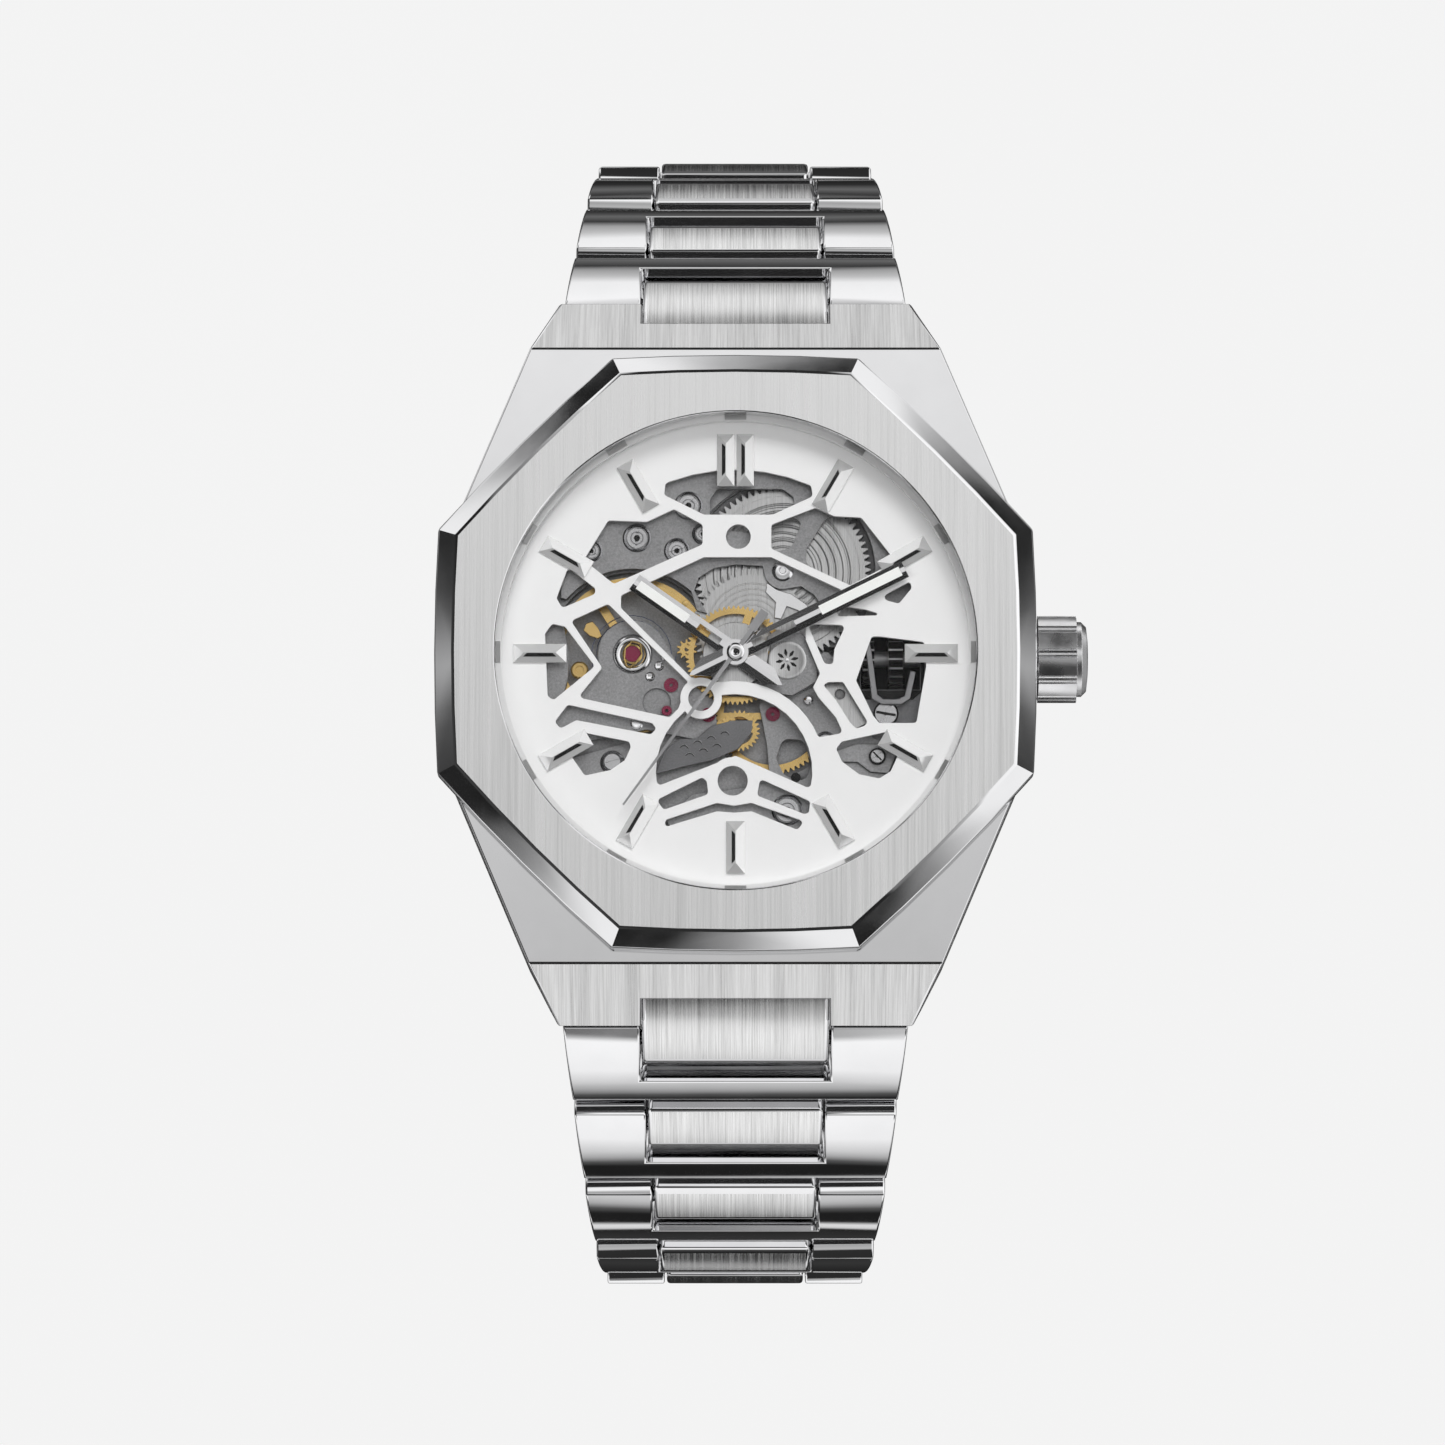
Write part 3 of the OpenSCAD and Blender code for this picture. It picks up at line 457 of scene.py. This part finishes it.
def dress_movement():
    """Frosted plates, gilt and silvered wheels, ruby jewels and polished screws."""
    for name in ("movement_plate", "balance_bridge", "train_bridge"):
        dress(name, [PLATE])
        bevel(name, BRIDGE_EDGE)
    for name in ("third_wheel", "fourth_wheel", "centre_wheel", "balance_wheel"):
        dress(name, [GILT])
    for name in ("hour_wheel", "barrel", "winding_rotor"):
        dress(name, [SILVERED])
        bevel(name, 0.05 * MM)
    dress("jewels", [RUBY])
    dress("screws", [SCREW_STEEL])
    bevel("screws", BRIDGE_EDGE)


def dress_hands():
    """Polished hands with luminous inserts, and a greyer second hand."""
    for name in ("hour_hand", "minute_hand"):
        dress(name, [MIRROR])
        dress(f"{name}_insert", [LUME])
    dress("second_hand", [HAND_GREY])


def dress_crown():
    """The crown with its satin end, and the stem, whose gears get black painted shade everywhere but on
    their tooth tips.
    """
    low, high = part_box("winding_stem")
    stem_z = (low.z + high.z) / 2

    def crown_pick(normal, centre):
        return 1 if normal.x > 0.9 else 0

    def stem_pick(normal, centre):
        rod, small_tip, large_tip, between = 0.6 * MM, 1.7 * MM, 2.0 * MM, 10 * MM
        tip = large_tip if centre.x > between else small_tip
        radius = math.hypot(centre.y, centre.z - stem_z)
        # Painted shade: tooth flanks and spaces are black, and only the tips keep the satin steel.
        return 1 if rod < radius < tip and abs(normal.x) < 0.5 else 0

    dress("crown_tube", [MIRROR])
    dress("crown_gasket", [RUBBER])
    dress("winding_stem", [SATIN, BLACK], stem_pick)
    dress("crown", [CROWN_STEEL, SATIN], crown_pick)
    smooth(nodes["crown"])
    bevel("crown", CASE_EDGE, 0)


def link_slope(name):
    """Mean outward normal of a link's top: its faces that look away from the wrist.

    The two first centre links are one node, so +Y stands for away from the case on either side.
    """
    total = Vector()
    for polygon in nodes[name].data.polygons:
        away = Vector((0, polygon.center.y, polygon.center.z - WRIST_MIDDLE))
        if abs(polygon.normal.x) < 0.01 and polygon.normal.dot(away.normalized()) > 0.8:
            normal = polygon.normal * polygon.area
            total += Vector((0, abs(normal.y), normal.z))
    return total.normalized()


def dress_bracelet():
    """Polished outer links, and centre links with a brushed top and polished edges."""
    for name in nodes:
        if name.startswith("outer_link"):
            dress(name, [MIRROR])
            smooth(nodes[name])
            bevel(name, OUTER_LINK_ROUND, segments=4)
        elif name.startswith("centre_link") or name == "first_centre_links":
            top = link_slope(name)

            def centre_pick(normal, centre, top=top):
                outward = Vector((normal.x, normal.y * math.copysign(1, centre.y), normal.z))
                return 0 if outward.dot(top) > 0.93 else 1

            dress(name, [LINK_STEEL, MIRROR], centre_pick)
            smooth(nodes[name])
            bevel(name, CENTRE_LINK_ROUND, 1, segments=4)
    for name in ("clasp_cover", "clasp_blade"):
        dress(name, [STEEL, MIRROR])
        bevel(name, 0.2 * MM, 1)


# ---------------------------------------------------------------- detail pieces

# Places on the dial's plane, and heights above the case back, in millimetres. The heights in a
# lathe's profile start at the seat that it stands on.
BALANCE = (-7.2, 0.1)
BARREL = (3.3, 6.0)
RATCHET = (1.2, 2.0)
STAR = (3.6, -0.4)
PLATE_TOP = top_of("movement_plate")
LOW_BRIDGE_TOP = PLATE_TOP + 0.5
COCK_TOP = top_of("balance_bridge")
BRIDGE_TOP = top_of("train_bridge")
SCREW_TOP = top_of("screws")
BARREL_TOP = top_of("barrel")
RIM_TOP = 5.8
STAR_SEAT = 6.9
ROTOR_TOP = 2.0

# The screws with a seat round them: x, y, radius and the height of the bridge they hold.
SEATED_SCREWS = ((-6.9, 8.3, 0.7, BRIDGE_TOP), (-10.1, 7.4, 0.5, BRIDGE_TOP),
                 (-4.1, 7.4, 0.6, BRIDGE_TOP), (-3.3, 10.6, 0.7, BRIDGE_TOP),
                 (3.6, -10.9, 0.8, BRIDGE_TOP), (6.3, -6.1, 0.5, LOW_BRIDGE_TOP),
                 (-8.6, -7.5, 0.55, LOW_BRIDGE_TOP), (-2.3, 8.6, 0.45, BRIDGE_TOP))
SLOTTED_SCREWS = ((10.5, -4.1, 0.75), (9.9, -7.1, 0.45))


def place(mesh, name, material, body):
    """Adds a finished mesh as a piece that rides on a body."""
    piece = bpy.data.objects.new(name, mesh)
    bpy.context.scene.collection.objects.link(piece)
    mesh.materials.clear()
    mesh.materials.append(material)
    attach(piece, body)
    return piece


def mesh_of(curve):
    """The solid that a curve with a depth or a bevel makes."""
    source = bpy.data.objects.new(curve.name, curve)
    bpy.context.scene.collection.objects.link(source)
    graph = bpy.context.evaluated_depsgraph_get()
    mesh = bpy.data.meshes.new_from_object(source.evaluated_get(graph))
    bpy.data.objects.remove(source)
    return mesh


def mesh_from(bm, name):
    """Turns a finished bmesh into a mesh."""
    mesh = bpy.data.meshes.new(name)
    bm.to_mesh(mesh)
    bm.free()
    return mesh


def flat_plate(name, outlines, low, high, edge, material, body):
    """A plate between two heights (mm): the first outline is its edge, the rest are openings."""
    curve = bpy.data.curves.new(name, "CURVE")
    curve.dimensions = "2D"
    curve.fill_mode = "BOTH"
    curve.extrude = ((high - low) / 2 - edge) * MM
    curve.bevel_depth = edge * MM
    curve.bevel_resolution = 1
    curve.offset = -edge * MM
    for outline in outlines:
        spline = curve.splines.new("POLY")
        spline.points.add(len(outline) - 1)
        for point, (x, y) in zip(spline.points, outline):
            point.co = (x * MM, y * MM, 0, 1)
        spline.use_cyclic_u = True
    mesh = mesh_of(curve)
    mesh.transform(Matrix.Translation((0, 0, (low + high) / 2 * MM)))
    place(mesh, name, material, body)


def lathe(name, profile, at, seat, material, body, steps=48):
    """Turns a closed [radius, height] profile (mm) about the upright axis through at."""
    bm = bmesh.new()
    rings = []
    for k in range(steps):
        angle = 2 * math.pi * k / steps
        rings.append([bm.verts.new((r * math.cos(angle), r * math.sin(angle), seat + h))
                      for r, h in profile])
    count = len(profile)
    for k in range(steps):
        here, there = rings[k], rings[(k + 1) % steps]
        for i in range(count):
            j = (i + 1) % count
            bm.faces.new((here[i], there[i], there[j], here[j]))
    bmesh.ops.remove_doubles(bm, verts=bm.verts, dist=1e-5)
    bmesh.ops.recalc_face_normals(bm, faces=bm.faces)
    mesh = mesh_from(bm, name)
    mesh.transform(Matrix.Translation(Vector((*at, 0)) * MM) @ Matrix.Scale(MM, 4))
    smooth(place(mesh, name, material, body))


def wire(name, path, height, radius, material, body, closed=False):
    """A round wire (mm) through the points of a path at one height."""
    curve = bpy.data.curves.new(name, "CURVE")
    curve.dimensions = "3D"
    curve.bevel_depth = radius * MM
    curve.bevel_resolution = 2
    curve.use_fill_caps = True
    spline = curve.splines.new("POLY")
    spline.points.add(len(path) - 1)
    for point, (x, y) in zip(spline.points, path):
        point.co = (x * MM, y * MM, height * MM, 1)
    spline.use_cyclic_u = closed
    smooth(place(mesh_of(curve), name, material, body), 50)


def turned(points, degrees, at):
    """Points turned about the origin and moved to a place."""
    c, s = math.cos(math.radians(degrees)), math.sin(math.radians(degrees))
    return [(at[0] + u * c - v * s, at[1] + u * s + v * c) for u, v in points]


def polar(at, radius, degrees):
    """The point at a radius and an angle from a place."""
    return (at[0] + radius * math.cos(math.radians(degrees)),
            at[1] + radius * math.sin(math.radians(degrees)))


def circle(at, radius, start=0, end=360, steps=36):
    """Points of an arc; a full turn leaves out its last point."""
    last = steps if end - start >= 360 else steps + 1
    return [polar(at, radius, start + (end - start) * k / steps) for k in range(last)]


def toothed(at, tip, root, teeth):
    """Outline of a toothed wheel."""
    parts = ((root, 0.0), (root, 0.25), (tip, 0.42), (tip, 0.68), (root, 0.85))
    return [polar(at, radius, 360 * (k + part) / teeth) for k in range(teeth)
            for radius, part in parts]


def raised_ring(radius, width):
    """Profile of a thin raised ring."""
    return [(radius, 0), (radius + width, 0), (radius + width * 0.8, 0.02),
            (radius + width * 0.2, 0.02)]


def balance_details():
    """Shock setting, stud, index and hairspring of the balance."""
    lathe("setting_ring", [(0.85, -0.12), (1.3, -0.12), (1.3, -0.05), (1.2, 0.01), (0.95, 0.01),
                           (0.85, -0.05)], BALANCE, COCK_TOP, MIRROR, "case")
    lathe("jewel_collar", [(0.56, -0.05), (0.72, -0.05), (0.7, 0.09), (0.58, 0.11)], BALANCE,
          COCK_TOP, GILT, "case")
    lyre = [(-0.3, 0.82), (0.3, 0.82), (0.62, 0.2), (0.42, -0.55), (0.12, -0.95),
            (-0.12, -0.95), (-0.42, -0.55), (-0.62, 0.2)]
    wire("lyre_spring", turned(lyre, -18, BALANCE), COCK_TOP + 0.15, 0.075, GILT, "case",
         closed=True)
    posts = ((-5.34, -0.74, 0.3), (-5.97, -1.49, 0.3), (-6.9, -4.8, 0.45), (-4.95, -0.1, 0.25))
    for k, (x, y, r) in enumerate(posts):
        lathe(f"post_{k}", [(0, -0.01), (r, -0.01), (r, 0.05), (r * 0.8, 0.09), (r * 0.5, 0.07),
                            (0, 0.07)], (x, y), COCK_TOP, MIRROR, "case", 32)
    lathe("stud_screw", [(0, 0.15), (0.62, 0.15), (0.62, 0.3), (0.5, 0.4), (0.3, 0.4),
                         (0.28, 0.32), (0, 0.32)], (-10.9, -1.0), RIM_TOP, GILT, "case")
    index = [(-10.45, 2.3), (-10.0, 2.45), (-9.6, 2.0), (-9.35, 1.4), (-9.6, 1.2), (-10.2, 1.4),
             (-10.65, 1.8)]
    flat_plate("index_tail", [index], RIM_TOP + 0.2, RIM_TOP + 0.42, 0.05, GILT, "case")
    cover = [(-13.9, 2.6), (-12.3, 3.4), (-11.9, 1.6), (-11.6, 0.2), (-11.7, -1.6), (-12.2, -3.6),
             (-13.9, -3.2)]
    flat_plate("rim_cover", [cover], RIM_TOP + 0.2, RIM_TOP + 0.5, 0.05, PLATE, "case")
    turns, steps, inner, spread = 7, 24, 0.75, 2.3
    spiral = [polar(BALANCE, inner + spread * k / (turns * steps), 360 * k / steps)
              for k in range(turns * steps + 1)]
    wire("hairspring", spiral, RIM_TOP + 0.1, 0.025, BLUED, "balance_wheel")
    rim_radius = 5.2
    for k in range(12):
        lathe(f"timing_screw_{k}", [(0, 0), (0.22, 0), (0.2, 0.05), (0, 0.07)],
              polar(BALANCE, rim_radius, 30 * k + 15), RIM_TOP, GILT, "balance_wheel", 16)


def barrel_details():
    """Ratchet wheel, click, and the mainspring that shows in the barrel."""
    low, high = RIM_TOP + 0.09, RIM_TOP + 0.135
    flat_plate("ratchet_wheel", [toothed(RATCHET, 4.2, 3.8, 56), circle(RATCHET, 0.5)], low, high,
               0.01, SILVERED, "case")
    for k in range(6):
        lathe(f"ratchet_ring_{k}", raised_ring(1.2 + 0.38 * k, 0.12), RATCHET, high - 0.005,
              SILVERED, "case", 72)
    for k in range(7):
        lathe(f"mainspring_{k}", raised_ring(1.7 + 0.5 * k, 0.2), BARREL, BARREL_TOP,
              SPRING_STEEL, "barrel", 72)
    lathe("barrel_arbor", [(0, -0.02), (0.75, -0.02), (0.75, 0.04), (0.62, 0.1), (0.25, 0.08),
                           (0.2, 0.02), (0, 0.02)], BARREL, BRIDGE_TOP, MIRROR, "case")
    click = [(2.2, 5.2), (2.9, 4.7), (3.9, 4.4), (4.9, 3.7), (5.6, 2.8), (5.1, 2.5), (4.4, 3.2),
             (3.6, 3.5), (3.2, 2.6), (2.7, 2.7), (2.8, 3.8), (2.1, 4.5)]
    flat_plate("click", [click], high + 0.01, high + 0.205, 0.04, MIRROR, "case")


def star_details():
    """The small bridge by the centre with its star-cut cap."""
    rounded_end = circle((0, 0), 2.5, -62, 30, 12)
    bridge = rounded_end + [(2.9, 1.75), (4.6, 1.5), (5.75, 0.3), (5.7, -1.9), (4.0, -2.9),
                            (2.3, -2.75)]
    flat_plate("minute_bridge", [bridge], STAR_SEAT - 0.28, STAR_SEAT, 0.05, PLATE, "case")
    lathe("star_cap", [(0, 0), (1.35, 0), (1.35, 0.03), (1.25, 0.06), (1.12, 0.03), (0, 0.03)],
          STAR, STAR_SEAT, SILVERED, "case")
    petal = [(0.25, 0), (0.5, 0.12), (0.78, 0.05), (0.78, -0.05), (0.5, -0.12)]
    for k in range(8):
        flat_plate(f"star_ray_{k}", [turned(petal, 45 * k + 10, STAR)], STAR_SEAT + 0.025,
                   STAR_SEAT + 0.045, 0.005, BLACK, "case")
    lathe("star_pin", [(0, 0.03), (0.14, 0.03), (0.12, 0.08), (0, 0.09)], STAR, STAR_SEAT, MIRROR,
          "case", 20)


def works_details():
    """The levers of the winding works, the sunk area round its gears and its slotted screws, with
    painted shade under and round the gears and in the screws' seats and slots.
    """
    yoke = [(9.0, 1.0), (9.5, -3.1), (10.2, -3.5), (11.6, -3.5), (12.2, -3.1), (12.6, -1.2),
            (12.2, -1.1), (11.8, -2.9), (11.3, -3.1), (10.3, -3.1), (9.9, -2.8), (9.4, 1.0)]
    flat_plate("yoke", [yoke], BRIDGE_TOP + 0.15, BRIDGE_TOP + 0.32, 0.06, WORKS_STEEL, "case")
    well = [(8.0, 1.4), (8.0, -3.0), (9.2, -5.2), (13.3, -5.2), (13.3, 1.4), (12.9, 1.4),
            (12.9, -2.3), (8.75, -2.3), (8.75, 1.4)]
    flat_plate("works_well", [well], PLATE_TOP + 0.02, PLATE_TOP + 0.1, 0.02, DARK_PLATE, "case")
    gap = [(8.05, 1.3), (8.05, -2.3), (9.0, -3.0), (12.4, -3.0), (13.2, -2.3), (13.2, 1.3),
           (12.95, 1.3), (12.95, -2.35), (8.7, -2.35), (8.7, 1.3)]
    # Painted shade: a black sheet under the gears and a black strip round them.
    floor = [(7.8, 2.4), (7.8, -2.9), (13.3, -2.9), (13.3, 2.4)]
    flat_plate("works_shade_sheet", [floor], ROTOR_TOP + 0.14, ROTOR_TOP + 0.2, 0.01, BLACK, "case")
    flat_plate("works_gap_shade", [gap], PLATE_TOP + 0.11, PLATE_TOP + 0.16, 0.01, BLACK, "case")
    for k, (x, y, r) in enumerate(SLOTTED_SCREWS):
        # Painted shade: a black ring in each screw's seat and a black bar for its slot.
        lathe(f"slotted_seat_shade_{k}", [(r + 0.01, -0.12), (r + 0.14, -0.12), (r + 0.12, -0.02),
                                    (r + 0.03, -0.02)], (x, y), SCREW_TOP, BLACK, "case")
        half, width = r * 0.92, r * 0.12
        bar = [(-half, -width), (half, -width), (half, width), (-half, width)]
        flat_plate(f"screw_slot_shade_{k}", [turned(bar, -10 - 35 * k, (x, y))], SCREW_TOP - 0.01,
                   SCREW_TOP + 0.015, 0.003, BLACK, "case")
    lever = [(5.7, -2.4), (6.2, -0.9), (7.9, -1.7), (8.4, -2.9), (9.3, -4.7), (8.3, -5.2),
             (6.9, -3.4)]
    flat_plate("setting_lever", [lever, circle((7.3, -2.7), 0.35)], LOW_BRIDGE_TOP + 0.02,
               LOW_BRIDGE_TOP + 0.2, 0.04, SILVERED, "case")
    jumper = [(7.0, -6.7), (8.4, -6.2), (10.1, -6.2), (11.2, -7.0), (10.7, -8.3), (9.4, -8.2),
              (8.5, -7.5), (7.4, -7.5)]
    flat_plate("jumper", [jumper, circle(SLOTTED_SCREWS[1][:2], 0.55)], LOW_BRIDGE_TOP + 0.02,
               LOW_BRIDGE_TOP + 0.22, 0.05, PLATE, "case")
    lathe("lever_post", [(0, 0), (0.32, 0), (0.32, 0.3), (0.2, 0.42), (0, 0.45)], (5.1, -3.1),
          LOW_BRIDGE_TOP, MIRROR, "case", 32)


def lower_details():
    """The dark plate with its scallops, the escape pinion, and a black post of painted shade for a
    pin's hole.
    """
    dark = [(-5.6, -8.4), (-4.9, -6.6), (-3.9, -5.9), (-2.7, -5.9), (-1.7, -5.0), (-0.2, -4.6),
            (1.2, -4.6), (1.1, -5.5), (0.2, -6.6), (-1.6, -7.4), (-3.8, -7.9)]
    top = BRIDGE_TOP + 0.16
    flat_plate("lower_plate", [dark], top - 0.13, top, 0.03, DARK_PLATE, "case")
    for row in range(2):
        for k in range(4 - row):
            centre = (-3.6 + 0.95 * k + 0.4 * row, -6.7 + 0.32 * k - 0.55 * row)
            arc = circle(centre, 0.32, 20, 150, 8)
            edge = [(x, y + 0.06) for x, y in arc]
            wire(f"scallop_{row}_{k}", arc, top + 0.005, 0.03, BLACK, "case")
            wire(f"scallop_edge_{row}_{k}", edge, top + 0.005, 0.02, MIRROR, "case")
    pinion = (-3.4, 0.45)
    flat_plate("escape_pinion", [toothed(pinion, 0.72, 0.5, 10), circle(pinion, 0.15)],
               RIM_TOP + 0.06, RIM_TOP + 0.5, 0.02, GILT, "case")
    # Painted shade: a black post stands for the dark inside of a pin's hole.
    lathe("pin_hole_shade", [(0, 0), (0.34, 0), (0.34, 0.53), (0.2, 0.56), (0, 0.56)], (4.2, -8.55),
          PLATE_TOP, BLACK, "case", 32)


def screw_details():
    """A bevelled seat, a step and a six-sided socket for each seated screw, all painted as shade: dark
    steel for the seat and step, black for the socket.
    """
    for k, (x, y, r, bridge_top) in enumerate(SEATED_SCREWS):
        seat = bridge_top + 0.02
        lathe(f"screw_seat_{k}", [(r + 0.02, -0.05), (r + 0.3, -0.05), (r + 0.3, 0.01),
                                  (r + 0.2, 0.035), (r + 0.08, -0.02)], (x, y), seat, SHADED_SEAT_STEEL,
              "case")
        lathe(f"screw_step_{k}", [(r * 0.56, 0.03), (r * 0.66, 0.03), (r * 0.64, 0.045),
                                  (r * 0.58, 0.045)], (x, y), seat, SHADED_SEAT_STEEL, "case")
        socket = circle((x, y), r * 0.34, 15 * k, 15 * k + 360, 6)
        flat_plate(f"screw_socket_shade_{k}", [socket], seat + 0.03, seat + 0.045, 0.003, BLACK, "case")


def facet_strip(name, at, along, side, ends, offsets, ridge, slope, material, body, flare=1):
    """A thin strip (mm) that lies on a sloping facet.

    ends are where it starts and stops along the facet, and offsets its two distances from the
    ridge, which is at a height; flare makes the far side longer by that much of its offset.
    """
    at, along, side = Vector(at), Vector(along), Vector(side)
    spread = flare * offsets[1]
    corners = [(ends[0], offsets[0]), (ends[1], offsets[0]),
               (ends[1] + spread, offsets[1]), (ends[0] - spread, offsets[1])]
    bm = bmesh.new()
    layers = []
    for lift in (-0.01, 0.015):
        layer = []
        for distance, offset in corners:
            spot = at + along * distance + side * offset
            height = ridge - slope * offset + lift
            layer.append(bm.verts.new((spot.x * MM, spot.y * MM, height * MM)))
        layers.append(layer)
    low, high = layers
    bm.faces.new(high)
    bm.faces.new(low[::-1])
    for i in range(4):
        j = (i + 1) % 4
        bm.faces.new((low[i], low[j], high[j], high[i]))
    bmesh.ops.recalc_face_normals(bm, faces=bm.faces)
    place(mesh_from(bm, name), name, material, body)


def baton_shades():
    """Painted shade beside the ridge of each hour baton, on the side turned from the light: two at 12,
    then one each hour.
    """
    ridge, drop, twin_shift = top_of("hour_batons"), 0.34, 0.68
    batons = [(0, twin_shift), (0, -twin_shift)] + [(hour, 0.0) for hour in range(1, 12)]
    for k, (hour, shift) in enumerate(batons):
        along = polar((0, 0), 1, 90 - 30 * hour)
        side = (-along[1], along[0])
        # The shade goes on the left or lower side, away from the light at the upper right.
        if side[0] + side[1] * 0.6 > 0:
            side = (along[1], -along[0])
        half = 0.65 if hour else 0.6
        facet_strip(f"baton_shade_{k}", (shift, 0), along, side, (12.75, 14.55), (0.03, 0.27),
                    ridge, drop / half, BLACK, "case")


def hand_details():
    """The cap over the hand pivots with a black disc of painted shade for its centre hole, and painted
    shade on one facet of the hour hand.
    """
    cap_seat = top_of("second_hand") - 0.02
    lathe("hub_cap", [(0.16, 0), (0.62, 0), (0.6, 0.05), (0.5, 0.08), (0.2, 0.08), (0.16, 0.06)],
          (0, 0), cap_seat, MIRROR, "second_hand")
    hour_angle, length, width, thickness = 305.3, 8.65, 1.25, 0.2
    along = polar((0, 0), 1, 90 - hour_angle)
    ridge = bottom_of("hour_hand") + 1.2 * thickness
    facet_strip("hour_hand_shade", (0, 0), along, (-along[1], along[0]), (4.7, length - 0.05),
                (0.3 * width, 0.49 * width), ridge, 1.5 * thickness / width, BLACK, "hour_hand",
                flare=0)
    # Painted shade: a black disc stands for the dark pivot hole.
    lathe("hub_hole_shade", [(0, 0), (0.17, 0), (0.17, 0.05), (0, 0.05)], (0, 0), cap_seat, BLACK,
          "second_hand", 24)


def hour_blocks():
    """A small grey block at each hour on the ring under the crystal."""
    top, half, inner, outer = top_of("chapter_ring"), 0.75, 16.4, 16.72
    block = [(inner, -half), (inner, half), (outer, half), (outer, -half)]
    for k in range(12):
        flat_plate(f"ring_mark_{k}", [turned(block, 30 * k, (0, 0))], top, top + 0.06, 0.01,
                   MARK_GREY, "case")


def back_details():
    """The rotor's bearing with its ring of balls."""
    seat = bottom_of("winding_rotor")
    lathe("rotor_bearing", [(0.62, -0.1), (1.9, -0.1), (1.9, 0), (0.62, 0)], (0, 0), seat, MIRROR,
          "winding_rotor")
    for k in range(7):
        lathe(f"bearing_ball_{k}", [(0, -0.11), (0.12, -0.11), (0.16, -0.07), (0.12, -0.02),
                                    (0, -0.02)], polar((0, 0), 1.3, 360 * k / 7), seat, STEEL,
              "winding_rotor", 16)


add_camera()
studio_world()
add_stage()
area_light("key", (0.08, 0.5, 0.5), (0.45, 0.3), 3.6)
area_light("fill", (-0.3, -0.1, 0.6), (0.3, 0.3), 1.15)
dress_case()
dress_movement()
dress_hands()
dress_crown()
dress_bracelet()
balance_details()
barrel_details()
star_details()
works_details()
lower_details()
screw_details()
hour_blocks()
baton_shades()
hand_details()
back_details()
